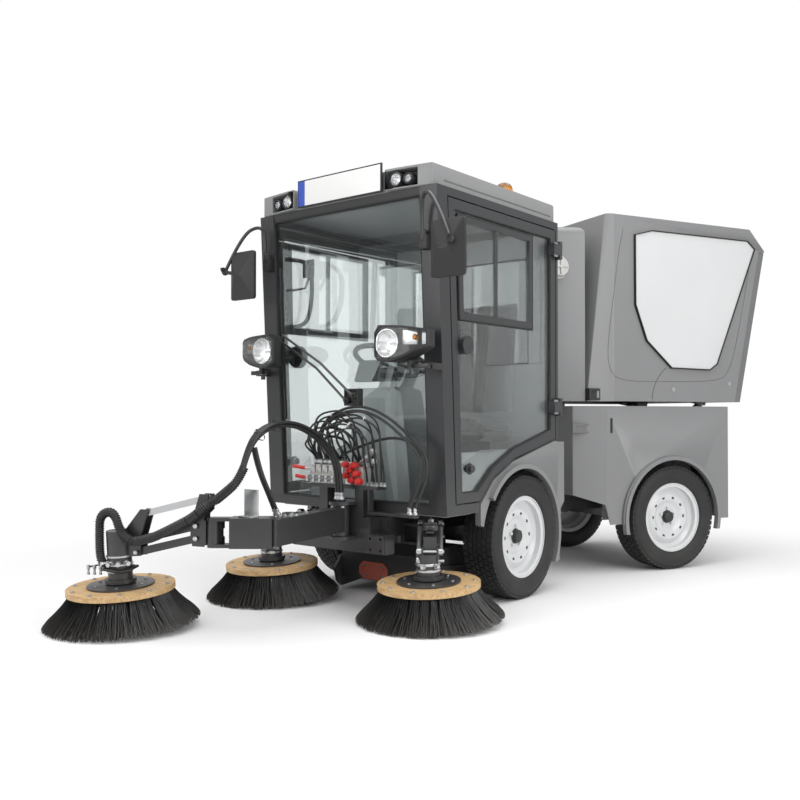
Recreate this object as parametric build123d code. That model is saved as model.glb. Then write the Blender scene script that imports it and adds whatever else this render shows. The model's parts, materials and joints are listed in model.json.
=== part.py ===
from build123d import *
import math
import os

# Articulated compact street sweeper with three disc brushes.
# Millimetres, +Z up, forward is -Y, the machine's left is +X.
# Everything is built round the front axle's centre on the ground, then moved so that
# the origin lies on the ground at the middle of the whole machine's box.

# Running gear
wheelbase = 1567.0
pivot_y = 915.0
photo_bend = 25.7
tyre_radius = 295.0
tyre_width = 184.0
rim_plane = 566.0
rim_width = 150.0
flange_radius = 195.5
seat_radius = 178.0
well_radius = 158.0
rim_wall = 4.0
disc_wall = 6.0
disc_depth = 52.0
hub_radius = 72.0
hub_cap_radius = 30.0
stud_circle = 50.0
stud_radius = 7.0
stud_count = 5
fit_gap = 0.3
run_gap = 6.0

# Cab
cab_half = 548.0
roof_half = 524.0
post_wall = 45.0
cab_front_low = -608.0
cab_front_high = -680.0
cab_rear = 366.0
cab_low = 484.0
cab_high = 1866.0
windscreen_half = 455.0
glass_wall = 6.0
roof_front = -735.0
roof_rear = 385.0
roof_wall = 95.0
roof_bow = 45.0
floor_wall = 12.0
floor_z = 430.0
bulkhead_wall = 14.0

# Doors
door_wall = 38.0
door_rim = 44.0
door_front = -534.0
door_rear = 338.0
door_high = 1823.0
door_low = 490.0
door_sill = 756.0
hinge_x = 566.0
hinge_y = 356.0
hinge_pin = 7.0
hinge_barrel = 13.0
hinge_height = 90.0
hinge_levels = (920.0, 1721.0)

# Wheel arches
arch_inner = 328.0
arch_outer = 350.0
arch_face = 574.0
arch_liner = 345.0

# Chassis
rail_half = 240.0
rail_width = 60.0
rail_low = 330.0
rail_high = 420.0
axle_half = 330.0
axle_height = 90.0

# Brushes
brush_radius = 320.0
board_radius = 220.0
board_wall = 22.0
bristle_height = 128.0
brush_tilt = 3.5
motor_radius = 50.0
motor_height = 105.0
third_motor_height = 215.0
side_hinge_x = 360.0
side_hinge_y = -470.0
side_reach = 260.0
side_swing_left = 36.0
side_swing_right = 9.0
side_pin = 22.0

# Front boom with the third brush
boom_pin = (64.0, -750.0)
boom_end = (170.0, -1250.0)
elbow_pin = (-24.0, -1406.0)
front_brush = (-440.0, -1543.0)
boom_width = 62.0
boom_low = 357.0
boom_high = 465.0
boom_pin_radius = 14.0
elbow_pin_radius = 12.0
link_drop = -70.0
link_run = 285.0
link_upper = (66.0, 434.0)
link_lower = (66.0, 384.0)
link_strut = (30.0, 545.0)
link_height = 32.0
link_width = 30.0
plate_wall = 8.0
link_pin = 9.0

# Rear body
body_half = 560.0
body_low = 273.0
body_high = 930.0
body_front = 930.0
body_front_half = 485.0
body_facet = 1100.0
body_rear = 1996.0
body_wall = 6.0

tow_half = 45.0
tow_wall = 18.0
tow_y = body_rear + 44
tow_z = 410.0
tow_hole = 13.0

# Hopper and water tank
hopper_low = 956.0
hopper_front = 1026.0
hopper_front_half = 500.0
hopper_facet = 1155.0
hopper_lean = 85.0
hopper_rear_low = body_rear + 99
hopper_rear_high = body_rear + 303
hopper_shoulder = 1880.0
hopper_high = hopper_shoulder + 120
hopper_top_rear = body_rear + 185
hopper_wall = 8.0
beyond = 300.0
tip_y = body_rear + 14
tip_z = 962.0
tip_pin = 14.0
tank_front = 640.0
tank_front_half = 330.0
tank_high = 1930.0


def block(x0, x1, y0, y1, z0, z1):
    return Pos((x0 + x1) / 2, (y0 + y1) / 2, (z0 + z1) / 2) * Box(x1 - x0, y1 - y0, z1 - z0)


def side_plate(outline, x0, x1):
    """Extrudes an outline of (y, z) points from x0 to x1."""
    face = make_face(Polyline(*[(x0, y, z) for y, z in outline], close=True))
    return extrude(face, amount=x1 - x0, dir=(1, 0, 0))


def plan_plate(outline, z0, z1):
    """Extrudes an outline of (x, y) points from z0 to z1."""
    face = make_face(Polyline(*[(x, y, z0) for x, y in outline], close=True))
    return extrude(face, amount=z1 - z0, dir=(0, 0, 1))


def front_plate(outline, y0, y1):
    """Extrudes an outline of (x, z) points from y0 to y1."""
    face = make_face(Polyline(*[(x, y0, z) for x, z in outline], close=True))
    return extrude(face, amount=y1 - y0, dir=(0, 1, 0))


def rod(start, end, radius):
    """A round bar between two points."""
    a = Vector(*start)
    b = Vector(*end)
    plane = Plane(origin=a, z_dir=b - a)
    return plane * Cylinder(radius, (b - a).length, align=(Align.CENTER, Align.CENTER, Align.MIN))


def ring(start, end, outer, inner):
    """A round tube between two points, open at both ends."""
    a = Vector(*start)
    b = Vector(*end)
    stretch = (b - a).normalized()
    return rod(start, end, outer) - rod(tuple(a - stretch), tuple(b + stretch), inner)


def bar(start, end, width, z0, z1, before=0.0, after=0.0):
    """A level box beam whose middle line runs between two plan points."""
    dx = end[0] - start[0]
    dy = end[1] - start[1]
    length = math.hypot(dx, dy)
    turn = math.degrees(math.atan2(dy, dx))
    beam = block(-before, length + after, -width / 2, width / 2, z0, z1)
    return Pos(start[0], start[1], 0) * Rot(0, 0, turn) * beam


def left_right(shape):
    return Compound(children=[shape, mirror(shape, about=Plane.YZ)])


def spun(outline, x_sign, y, x0=rim_plane):
    """Revolves (x, radius) points round the wheel axis. x is measured from the rim plane."""
    points = [(x, 0, r) for x, r in outline]
    solid = revolve(make_face(Polyline(*points, close=True)), axis=Axis.X)
    solid = Pos(x0, y, tyre_radius) * solid
    return solid if x_sign > 0 else mirror(solid, about=Plane.YZ)


# Wheels and tyres


def wheel(x_sign, y):
    w = rim_width
    outer = [(0, flange_radius), (-6, flange_radius), (-10, seat_radius), (-36, seat_radius)]
    outer += [(-50, well_radius), (-w + 50, well_radius), (-w + 36, seat_radius)]
    outer += [(-w + 10, seat_radius), (-w + 6, flange_radius), (-w, flange_radius)]
    inner = [(x, r - rim_wall) for x, r in reversed(outer[1:-1])]
    inner = [(-w, flange_radius - rim_wall), *inner, (0, flange_radius - rim_wall)]
    rim = spun(outer + inner, x_sign, y)
    d = -disc_depth
    face = [(d, 36), (d, 78), (d + 12, 100), (d + 16, 128), (d + 2, well_radius - rim_wall + 1)]
    back = [(x - disc_wall, r) for x, r in reversed(face)]
    disc = spun(face + back, x_sign, y)
    studs = []
    for k in range(stud_count):
        a = 2 * math.pi * k / stud_count
        cy = y + stud_circle * math.sin(a)
        cz = tyre_radius + stud_circle * math.cos(a)
        x0 = x_sign * (rim_plane - disc_depth - 2)
        studs.append(rod((x0, cy, cz), (x0 + x_sign * 16, cy, cz), stud_radius))
    cap_x = x_sign * (rim_plane - disc_depth)
    inner_x = x_sign * (rim_plane - disc_depth - disc_wall)
    hub = rod((inner_x, y, tyre_radius), (cap_x + x_sign * 22, y, tyre_radius), hub_cap_radius)
    hub += rod((inner_x, y, tyre_radius), (cap_x + x_sign * 3, y, tyre_radius), 38)
    result = rim + disc + hub
    for stud in studs:
        result += stud
    return result


def tyre(x_sign, y):
    mid = -rim_width / 2
    half = tyre_width / 2
    bead = flange_radius + fit_gap
    shoulder = tyre_radius - 12
    tread_half = half - 17
    bead_half = rim_width / 2
    points = [(mid + bead_half, 0, bead), (mid + tread_half, 0, shoulder)]
    outer_wall = ThreePointArc(points[0], (mid + half, 0, bead + 44), points[1])
    tread = ThreePointArc(points[1], (mid, 0, tyre_radius), (mid - tread_half, 0, shoulder))
    inner_wall = ThreePointArc(
        (mid - tread_half, 0, shoulder), (mid - half, 0, bead + 44), (mid - bead_half, 0, bead)
    )
    seat = Line((mid - bead_half, 0, bead), points[0])
    section = make_face([outer_wall, tread, inner_wall, seat])
    solid = Pos(rim_plane, y, tyre_radius) * revolve(section, axis=Axis.X)
    return solid if x_sign > 0 else mirror(solid, about=Plane.YZ)


# Front frame: rails, axle beam, hub carriers and the upright fork of the centre pivot

cab_pads = (-560.0, -300.0, 60.0, 330.0)
pivot_half_high = 60.0
pivot_mid = 470.0
pivot_pin = 30.0
pivot_outer = 55.0


def hubs(y):
    """Hub carriers from the axle beam out to the wheel disc, one each side."""
    seat_x = rim_plane - disc_depth - disc_wall - fit_gap
    carrier = rod((axle_half - 2, y, tyre_radius), (seat_x - 30, y, tyre_radius), 58)
    flange = rod((seat_x - 30, y, tyre_radius), (seat_x, y, tyre_radius), hub_radius)
    return carrier + flange


def axle(y):
    half = axle_height / 2
    beam = block(-axle_half, axle_half, y - 50, y + 50, tyre_radius - half, tyre_radius + half)
    right = mirror(hubs(y), about=Plane.YZ)
    return beam + hubs(y) + right


def front_frame():
    rail = block(rail_half - rail_width, rail_half, -640, 640, rail_low, rail_high)
    frame = rail + mirror(rail, about=Plane.YZ)
    frame += block(-rail_half, rail_half, -640, -600, rail_low, rail_high)
    frame += block(-rail_half, rail_half, 600, 660, rail_low, rail_high)
    frame += axle(0)
    frame += block(-70, 70, 600, 660, rail_low, pivot_mid + pivot_half_high + 30)
    # Pads that carry the cab
    for s in (-1, 1):
        for y in cab_pads:
            x0, x1 = sorted((s * (rail_half - 45), s * (rail_half - 10)))
            frame += block(x0, x1, y - 30, y + 30, rail_high - 1, floor_z - fit_gap)
    gap = 1.0
    low = pivot_mid - pivot_half_high
    high = pivot_mid + pivot_half_high
    for z0, z1 in ((low - 30, low - gap), (high + gap, high + 30)):
        arm = block(-60, 60, 640, pivot_y, z0, z1) + rod((0, pivot_y, z0), (0, pivot_y, z1), 60)
        frame += arm
    frame += rod((0, pivot_y, low - 30), (0, pivot_y, high + 30), pivot_pin)
    # Brackets with the upright pins of the side brush arms
    y = side_hinge_y
    for s in (-1, 1):
        hx = s * side_hinge_x
        x0, x1 = sorted((s * (rail_half - 20), hx))
        for z0, z1 in ((side_low - 12, side_low - 1), (side_high + 1, side_high + 12)):
            frame += block(x0, x1, y - 45, y + 45, z0, z1) + rod((hx, y, z0), (hx, y, z1), 45)
        x0, x1 = sorted((s * (rail_half - 20), s * (rail_half + 2)))
        frame += block(x0, x1, y - 45, y + 45, side_low - 12, side_high + 12)
        frame += rod((hx, y, side_low - 12), (hx, y, side_high + 12), side_pin)
    return frame


def rear_frame():
    low = pivot_mid - pivot_half_high
    high = pivot_mid + pivot_half_high
    eye = rod((0, pivot_y, low), (0, pivot_y, high), pivot_outer)
    neck = block(-45, 45, pivot_y, pivot_y + 120, low + 10, high - 10)
    cross = block(-rail_half, rail_half, pivot_y + 100, pivot_y + 160, rail_low, high)
    frame = eye + neck + cross
    frame -= rod((0, pivot_y, low - 1), (0, pivot_y, high + 1), pivot_pin + fit_gap)
    rail = block(rail_half - rail_width, rail_half, pivot_y + 100, body_rear - 20, rail_low, rail_high)
    frame += rail + mirror(rail, about=Plane.YZ)
    frame += block(-rail_half, rail_half, body_rear - 80, body_rear - 20, rail_low, rail_high)
    frame += axle(wheelbase)
    # Brackets that carry the body
    for s in (-1, 1):
        x0, x1 = sorted((s * 140, s * 200))
        frame += block(x0, x1, body_rear - 22, body_rear - body_wall - fit_gap, rail_low + 15, rail_high - 15)
        frame += block(x0, x1, body_front + body_wall + fit_gap, pivot_y + 102, rail_high + 10, rail_high + 60)
    # Tow plate
    tow = block(-tow_half, tow_half, body_rear - 30, tow_y + 25, tow_z - tow_wall, tow_z)
    tow += rod((0, tow_y, tow_z - tow_wall), (0, tow_y, tow_z), tow_half)
    frame += tow - rod((0, tow_y, tow_z - 50), (0, tow_y, tow_z + 5), tow_hole)
    # Uprights with the tipping pin at the back, one each side
    for s in (-1, 1):
        upright = block(*sorted((s * 300, s * 330)), body_rear - 80, body_rear - 20, rail_high + fit_gap, tip_z - 60)
        foot = block(*sorted((s * 200, s * 330)), body_rear - 80, body_rear - 20, rail_low, rail_high)
        head = side_plate(
            [(body_rear - 80, tip_z - 90), (body_rear - 80, tip_z - 60), (tip_y - 20, tip_z - 10),
             (tip_y - 20, tip_z), (tip_y + 5, tip_z), (tip_y + 5, tip_z - 40), (body_rear - 20, tip_z - 90)],
            *sorted((s * 300, s * 330)),
        )
        pin = rod((s * 290, tip_y, tip_z), (s * 352, tip_y, tip_z), tip_pin)
        eye = rod((s * 300, tip_y, tip_z), (s * 330, tip_y, tip_z), 24)
        frame += upright + foot + head + pin + eye
    # Lugs that carry the foot of the lift cylinder
    x0, x1 = lift_x - 30, lift_x + 30
    beam = block(rail_half + fit_gap, x1 + 6, lift_foot[0] - 30, lift_foot[0] + 30, rail_low, rail_low + 30)
    frame += beam
    for s in (x0 - 8, x1 - 4):
        frame += block(s, s + 8, lift_foot[0] - 26, lift_foot[0] + 26, rail_low + 20, lift_foot[1] + 26)
    frame += rod((x0 - 8, *lift_foot), (x1 + 4, *lift_foot), 12)
    return frame


# Cab


def cab_outline():
    return [
        (cab_front_low, cab_low),
        (cab_front_high, cab_high),
        (cab_rear, cab_high),
        (cab_rear, door_sill),
        (door_front, door_sill),
        (door_front, cab_low),
    ]


def door_outline(inset=0.0):
    i = inset
    return [
        (door_front + i, door_low + i),
        (door_front - 62 + i, door_high - i),
        (door_rear - i, door_high - i),
        (door_rear - i, 760 + i),
        (-60, 672 + i),
        (-236, 592 + i),
        (-352 - 0.4 * i, door_low + i),
    ]


def cab_frame():
    # The posts stop on the outline, and the door's opening is cut with a running gap
    side = side_plate(cab_outline(), cab_half - post_wall, cab_half)
    opening = [
        (door_front - run_gap, door_low - run_gap - 30),
        (door_front - 62 - run_gap, door_high + run_gap),
        (door_rear + run_gap, door_high + run_gap),
        (door_rear + run_gap, door_low - run_gap - 30),
    ]
    side -= side_plate(opening, cab_half - post_wall - 1, cab_half + 1)
    side += block(cab_half - post_wall, cab_half, cab_front_low + 4, -356, cab_low - 44, door_low - run_gap)
    # The front post is deeper across, and meets the windscreen's edge
    low = cab_low
    post = side_plate(
        [(cab_front_low, low), (cab_front_high, cab_high), (cab_front_high + 50, cab_high),
         (cab_front_low + 50, low)],
        windscreen_half + fit_gap, cab_half,
    )
    frame = side + post
    frame += mirror(frame, about=Plane.YZ)
    # Cross rails: under the windscreen, over it, and along the back of the roof
    frame += block(-cab_half, cab_half, cab_front_low + 4, cab_front_low + 54, low - 44, low)
    frame += block(-cab_half, cab_half, cab_front_low + 4, cab_front_low + 54, low, low + 2)
    top = side_plate(
        [(cab_front_high + 1, cab_high), (cab_front_high + 50, cab_high),
         (cab_front_high + 52, cab_high - 38), (cab_front_high + 9, cab_high - 38)],
        -cab_half, cab_half,
    )
    frame += top
    frame += block(-cab_half, cab_half, cab_rear - 40, cab_rear, cab_high - 40, cab_high)
    # Hinge lugs on the rear posts
    for s in (-1, 1):
        for z in hinge_levels:
            for z0 in (z - hinge_height / 2, z + hinge_height / 2 - 18):
                x0, x1 = sorted((s * (cab_half - 8), s * hinge_x))
                lug = block(x0, x1, hinge_y - hinge_barrel, cab_rear, z0, z0 + 18)
                lug += rod((s * hinge_x, hinge_y, z0), (s * hinge_x, hinge_y, z0 + 18), hinge_barrel)
                frame += lug
            frame += rod(
                (s * hinge_x, hinge_y, z - hinge_height / 2),
                (s * hinge_x, hinge_y, z + hinge_height / 2), hinge_pin,
            )
    return frame


def windscreen():
    lean = (cab_front_high - cab_front_low) / (cab_high - cab_low)
    z0 = cab_low + 2 + fit_gap
    z1 = cab_high - 38 - fit_gap
    y0 = cab_front_low + 8 + lean * (z0 - cab_low)
    y1 = cab_front_low + 8 + lean * (z1 - cab_low)
    pane = side_plate(
        [(y0, z0), (y1, z1), (y1 + glass_wall, z1), (y0 + glass_wall, z0)],
        -windscreen_half, windscreen_half,
    )
    rear = block(-rear_window_half + fit_gap, rear_window_half - fit_gap,
                 cab_rear - bulkhead_wall + 4, cab_rear - bulkhead_wall + 9,
                 rear_window_low + fit_gap, rear_window_high - fit_gap)
    return Compound(children=[pane, rear])


rear_window_half = 380.0
rear_window_low = 1150.0
rear_window_high = 1700.0


def cab_shell():
    """Floor, side floor strips and the rear bulkhead with its window."""
    inner = cab_half - post_wall - fit_gap
    floor = block(-arch_liner, arch_liner, cab_front_low + 54 + fit_gap, cab_rear - fit_gap,
                  floor_z, floor_z + floor_wall)
    wall = block(-inner, inner, cab_rear - bulkhead_wall, cab_rear - fit_gap,
                 floor_z, cab_high - 40 - fit_gap)
    wall -= block(-rear_window_half, rear_window_half, cab_rear - 30, cab_rear + 5,
                  rear_window_low, rear_window_high)
    shell = floor + wall
    for s in (-1, 1):
        x0, x1 = sorted((s * (arch_liner - 1), s * inner))
        shell += block(x0, x1, cab_front_low + 54 + fit_gap, -arch_outer - 16, floor_z, floor_z + floor_wall)
        x0, x1 = sorted((s * arch_liner, s * (arch_liner - 6)))
        shell += block(x0, x1, -arch_outer - 16, cab_rear - 10, floor_z, 700)
        x0, x1 = sorted((s * (arch_liner - 6), s * inner))
        shell += block(x0, x1, -40, cab_rear - 10, 700, 706)
        shell += side_plate(
            [(-arch_outer - 16, floor_z), (-arch_outer - 10, floor_z), (-arch_outer - 10, 520),
             (-210, 640), (-34, 700), (-34, 706), (-40, 706), (-214, 646), (-arch_outer - 16, 524)],
            x0, x1,
        )
    return shell


def roof():
    r = roof_half
    plan = make_face([
        Line((r, roof_front + roof_bow, 0), (r, roof_rear, 0)),
        Line((r, roof_rear, 0), (-r, roof_rear, 0)),
        Line((-r, roof_rear, 0), (-r, roof_front + roof_bow, 0)),
        ThreePointArc((-r, roof_front + roof_bow, 0), (0, roof_front, 0), (r, roof_front + roof_bow, 0)),
    ])
    slab = Pos(0, 0, cab_high + fit_gap) * extrude(plan, amount=roof_wall)
    slab = fillet(slab.edges().filter_by(Axis.Z), 40)
    slab = fillet(slab.faces().sort_by(Axis.Z)[-1].edges(), 22)
    # Lamp pods and the seat of the plate are cut into the front
    for s in (-1, 1):
        slab -= rod((s * 398, roof_front - 40, cab_high + 50), (s * 398, roof_front + 70, cab_high + 50), 36)
    slab -= block(-plate_half - 8, plate_half + 8, roof_front - 10, roof_front + 50, cab_high - 5, cab_high + 130)
    return slab


plate_half = 280.0


def number_plate():
    y = roof_front + 50 - fit_gap
    frame = block(-plate_half, plate_half, y - 18, y, cab_high + 4, cab_high + 138)
    return frame


def fender():
    """Panel over and behind the front wheel, with the arch and its lip."""
    centre_z = tyre_radius
    panel = side_plate(
        [(-345, cab_low - 10), (-236, 580), (-60, 660), (door_rear - 10, 748), (380, 742),
         (434, 742), (434, 439), (392, 400), (384, 135), (250, 135), (-345, 380)],
        cab_half - 30, cab_half,
    )
    panel -= rod((0, 0, centre_z), (700, 0, centre_z), arch_inner)
    lip = ring((cab_half - 30, 0, centre_z), (arch_face, 0, centre_z), arch_outer, arch_inner)
    lip -= block(0, 700, -500, 500, -200, 140)
    lip -= side_plate([(-500, 140), (0, 140), (0, 295), (-260, 480), (-500, 700)], 0, 700)
    liner = ring((arch_liner + fit_gap, 0, centre_z), (cab_half - 20, 0, centre_z), arch_outer - 4, arch_inner + 8)
    liner -= block(0, 700, -500, 500, -200, 200)
    liner -= side_plate([(-500, 140), (0, 140), (0, 295), (-260, 480), (-500, 700)], 0, 700)
    result = panel + lip + liner
    return result


def fenders_front():
    return left_right(fender())


def door_shape(s):
    x0 = cab_half - door_wall
    frame = side_plate(door_outline(), x0, cab_half)
    frame -= side_plate(door_outline(door_rim), x0 - 1, cab_half + 1)
    # Sliding window frame, clamped on the pane
    a = slide_window
    outer = side_plate([(a[0], a[2]), (a[0] - 12, a[3]), (a[1], a[3]), (a[1], a[2])],
                       cab_half - 24, cab_half - 2)
    inner = side_plate([(a[0] + 30, a[2] + 34), (a[0] + 20, a[3] - 28), (a[1] - 28, a[3] - 28),
                        (a[1] - 28, a[2] + 34)], cab_half - 26, cab_half)
    window = outer - inner + block(cab_half - 18, cab_half - 8, -215, -190, a[2] + 20, a[3] - 20)
    knuckles = None
    for z in hinge_levels:
        z0 = z - hinge_height / 2 + 18 + fit_gap
        z1 = z + hinge_height / 2 - 18 - fit_gap
        knuckle = rod((hinge_x, hinge_y, z0), (hinge_x, hinge_y, z1), hinge_barrel)
        strap = block(cab_half + 5, hinge_x + hinge_barrel, door_rear - 60, hinge_y, z0, z1)
        leaf = block(cab_half - 4, cab_half + 6, door_rear - 60, door_rear - 4, z0, z1)
        knuckle += strap + leaf
        knuckle -= rod((hinge_x, hinge_y, z0 - 1), (hinge_x, hinge_y, z1 + 1), hinge_pin + fit_gap)
        knuckles = knuckle if knuckles is None else knuckles + knuckle
    frame += knuckles
    handle = rod((cab_half - 20, handle_at[0], handle_at[1]), (cab_half + 20, handle_at[0], handle_at[1]), 42)
    lock = rod((cab_half - 20, lock_at[0], lock_at[1]), (cab_half + 22, lock_at[0], lock_at[1]), 17)
    parts = [frame, window, handle, lock]
    if s < 0:
        parts = [mirror(p, about=Plane.YZ) for p in parts]
    return Compound(children=parts)


slide_window = (-505.0, 118.0, 1300.0, 1762.0)
handle_at = (-470.0, 1187.0)
lock_at = (-440.0, 640.0)


def door_pane(s):
    x0 = cab_half - 16
    pane = side_plate(door_outline(door_rim + fit_gap), x0, x0 + glass_wall)
    a = slide_window
    g = fit_gap
    pane -= side_plate(
        [(a[0] - g, a[2] - g), (a[0] - 12 - g, a[3] + g), (a[1] + g, a[3] + g), (a[1] + g, a[2] - g)],
        x0 - 1, x0 + 10,
    )
    for at, r in ((handle_at, 42), (lock_at, 17)):
        pane -= rod((x0 - 5, *at), (x0 + 12, *at), r + fit_gap)
    inner = side_plate(
        [(a[0] + 30 + g, a[2] + 34 + g), (a[0] + 20 + g, a[3] - 28 - g), (-215 - g, a[3] - 28 - g),
         (-215 - g, a[2] + 34 + g)],
        cab_half - 15, cab_half - 11,
    )
    inner2 = side_plate(
        [(-190 + g, a[2] + 34 + g), (-190 + g, a[3] - 28 - g), (a[1] - 28 - g, a[3] - 28 - g),
         (a[1] - 28 - g, a[2] + 34 + g)],
        cab_half - 15, cab_half - 11,
    )
    parts = [pane, inner, inner2]
    if s < 0:
        parts = [mirror(p, about=Plane.YZ) for p in parts]
    return Compound(children=parts)


# Cab fittings


def console():
    """Dashboard on the front floor with the steering column."""
    floor = floor_z + floor_wall + fit_gap
    body = side_plate(
        [(-420, floor), (-480, 700), (-500, 960), (-440, 1010), (-380, 990), (-330, 700), (-300, floor)],
        -110, 110,
    )
    centre = Vector(*wheel_centre)
    axis = Vector(*wheel_axis).normalized()
    column = rod(tuple(centre - axis * 210), tuple(centre - axis * (15 + fit_gap)), 26)
    return body + column


wheel_centre = (0.0, -320.0, 1146.0)
wheel_axis = (0.0, 70.0, 180.0)


def steering_wheel():
    """Rim, three spokes and hub, tilted towards the driver."""
    tilt = Plane(origin=wheel_centre, z_dir=wheel_axis)
    wheel_rim = tilt * Torus(180, 13)
    hub = tilt * Cylinder(34, 30)
    result = wheel_rim + hub
    for a in (90, 210, 330):
        result += tilt * Rot(0, 0, a) * Pos(90, 0, 0) * Box(172, 22, 8)
    return result


def seat_base():
    floor = floor_z + floor_wall + fit_gap
    box = block(-190, 190, -40, 300, floor, 740)
    return fillet(box.edges().filter_by(Axis.Z), 25)


def seat_cushion():
    pad = block(-235, 235, -110, 250, 740 + fit_gap, 860)
    return fillet(pad.edges(), 30)


def seat_back():
    low = 860 + fit_gap
    back = side_plate([(180, low), (250, low), (330, 1480), (270, 1500), (225, 1440)], -225, 225)
    back = fillet(back.edges().filter_by(Axis.X, reverse=True), 25)
    return back


def lamps_front():
    """Headlamp housings on their brackets, one each side."""
    shapes = []
    for s, x in ((1, lamp_left), (-1, lamp_right)):
        y = lamp_y
        body = rod((x, y, lamp_z), (x, y + 90, lamp_z), 78)
        body -= rod((x, y - 1, lamp_z), (x, y + 22, lamp_z), 70)
        arm = block(*sorted((x, s * (cab_half - 40))), y + 50, y + 74, lamp_z - 14, lamp_z + 14)
        foot_y = cab_front_low - 40
        foot = block(*sorted((s * (cab_half - 48), s * (cab_half - 8))), y + 50, foot_y,
                     lamp_z - 30, lamp_z + 30)
        shapes.append(body + arm + foot)
    return Compound(children=shapes)


lamp_left = 430.0
lamp_right = -540.0
lamp_y = -830.0
lamp_z = 1205.0


def lamp_lenses():
    shapes = []
    for x in (lamp_left, lamp_right):
        shapes.append(rod((x, lamp_y + 2, lamp_z), (x, lamp_y + 8, lamp_z), 70 - fit_gap))
    return Compound(children=shapes)


def mirrors():
    """Outside mirrors on bent arms from the front posts."""
    shapes = []
    for s in (-1, 1):
        x0 = s * (cab_half - 30)
        y0 = cab_front_high - 8
        path = [(x0, y0, 1760), (s * 620, -770, 1830), (s * 700, -790, 1790), (s * 700, -790, 1720)]
        if s > 0:
            path = [(x0, y0, 1740), (s * 590, -790, 1850), (s * 640, -810, 1830), (s * 650, -815, 1700)]
        arm = rod(path[0], path[1], 9)
        for a, b in zip(path[1:], path[2:]):
            arm += rod(a, b, 9)
            arm += Pos(*a) * Sphere(9)
        head = block(path[-1][0] - 70, path[-1][0] + 70, path[-1][1] - 45, path[-1][1] + 5, 1480, 1735)
        base = block(*sorted((s * (cab_half - 60), s * (cab_half - 5))), cab_front_high - 22,
                     cab_front_high + 6, 1725, 1775)
        base -= side_plate([(cab_front_low, cab_low), (cab_front_high, cab_high),
                            (cab_front_high + 200, cab_high), (cab_front_low + 200, cab_low)], -700, 700)
        shapes.append(arm + head + base)
    return Compound(children=shapes)


def wiper():
    lean = (cab_front_high - cab_front_low) / (cab_high - cab_low)
    at = lambda z: cab_front_low + 8 + lean * (z - cab_low)
    z = 960.0
    base = block(20, 90, at(z) - 50, at(z + 35) - fit_gap, z - 35, z + 35)
    arm = rod((50, at(z) - 40, z), (-400, at(1240) - 34, 1240), 8)
    blade = rod((-405, at(1600) - 12, 1600), (-405, at(860) - 12, 860), 10)
    link = rod((-402, at(1240) - 40, 1240), (-405, at(1240) - 8, 1240), 9)
    return base + arm + blade + link


def beacon():
    x, y = 330.0, 200.0
    z = cab_high + fit_gap + roof_wall + fit_gap
    return rod((x, y, z), (x, y, z + 22), 52) + rod((x, y, z), (x, y, z + 84), 44)


# Front carrier: cross beam, boom clevis, hydraulic block and the side-arm pivots


def front_carrier():
    y0, y1 = -708.0, -641.0
    beam = block(-285, 285, y0, y1, 262, 350)
    uprights = block(-110, -60, y0, y1, 340, shelf_z) + block(110, 160, y0, y1, 340, shelf_z)
    top = block(-220, 240, y0, y1, shelf_z - 15, shelf_z)
    carrier = beam + uprights + top
    bx, by = boom_pin
    for z0, z1 in ((boom_low - 36, boom_low - 22), (boom_high + 11, boom_high + 25)):
        carrier += block(bx - 55, bx + 55, by, y1, z0, z1) + rod((bx, by, z0), (bx, by, z1), 55)
    carrier += block(bx - 55, bx + 55, by + 42, y1, boom_low - 36, boom_high + 25)
    carrier += rod((bx, by, boom_low - 36), (bx, by, boom_high + 25), boom_pin_radius)
    # Drilled plate for attachments at the left end of the beam
    plate = block(coupling_x - 45, coupling_x + 45, y0 - 10, y0, 266, 346)
    for dx in (-coupling_pitch_x / 2, coupling_pitch_x / 2):
        for dz in (-coupling_pitch_z / 2, coupling_pitch_z / 2):
            hole = rod((coupling_x + dx, y0 - 12, 306 + dz), (coupling_x + dx, y0 + 8, 306 + dz), coupling_hole)
            plate -= hole
    carrier += plate
    # Two arms that reach back to the frame's front member
    for s in (-1, 1):
        x0, x1 = sorted((s * 150, s * 200))
        carrier += block(x0, x1, y1 - 2, -640 - fit_gap, 330, 420)
        carrier += block(x0, x1, y0, y1, 340, 420)
    return carrier


side_low = 300.0
side_high = 372.0
shelf_z = 560.0
coupling_x = 238.0
coupling_pitch_x = 60.0
coupling_pitch_z = 50.0
coupling_hole = 6.5


def hydraulic_block():
    """Valve bank on the carrier's shelf with its coupling row and levers."""
    z = shelf_z + fit_gap
    body = block(-180, 40, -716, -640, z, z + 70) + block(50, 110, -720, -630, z, z + 110)
    body += block(35, 55, -700, -650, z, z + 60)
    for k in range(6):
        x = -160 + 34 * k
        body += rod((x, -700, z + 42), (x, -760, z + 42), 11)
    for k in range(4):
        z1 = z + 12 + 26 * k
        body += rod((100, -690, z1), (150, -690, z1), 10)
    return body


def placed_brush(centre):
    """Placement of a brush whose own origin is the middle of its tips on the floor."""
    lift = brush_radius * math.sin(math.radians(brush_tilt)) + 2
    return Pos(centre[0], centre[1], lift) * Rot(brush_tilt, 0, 0)


def brush_board():
    """Wooden board, steel plate and drive hub."""
    low = bristle_height
    high = low + board_wall
    board = ring((0, 0, low), (0, 0, high), board_radius, 60)
    plate = rod((0, 0, high), (0, 0, high + 6), 132)
    hub = rod((0, 0, high + 6), (0, 0, high + 14), 40)
    return board + plate + hub


def brush_bristles():
    low, high = 0.0, bristle_height - fit_gap
    outline = [(brush_radius - 70, low), (brush_radius, low), (board_radius - 6, high), (board_radius - 80, high)]
    return revolve(make_face(Polyline(*[(r, 0, z) for r, z in outline], close=True)), axis=Axis.Z)


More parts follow.
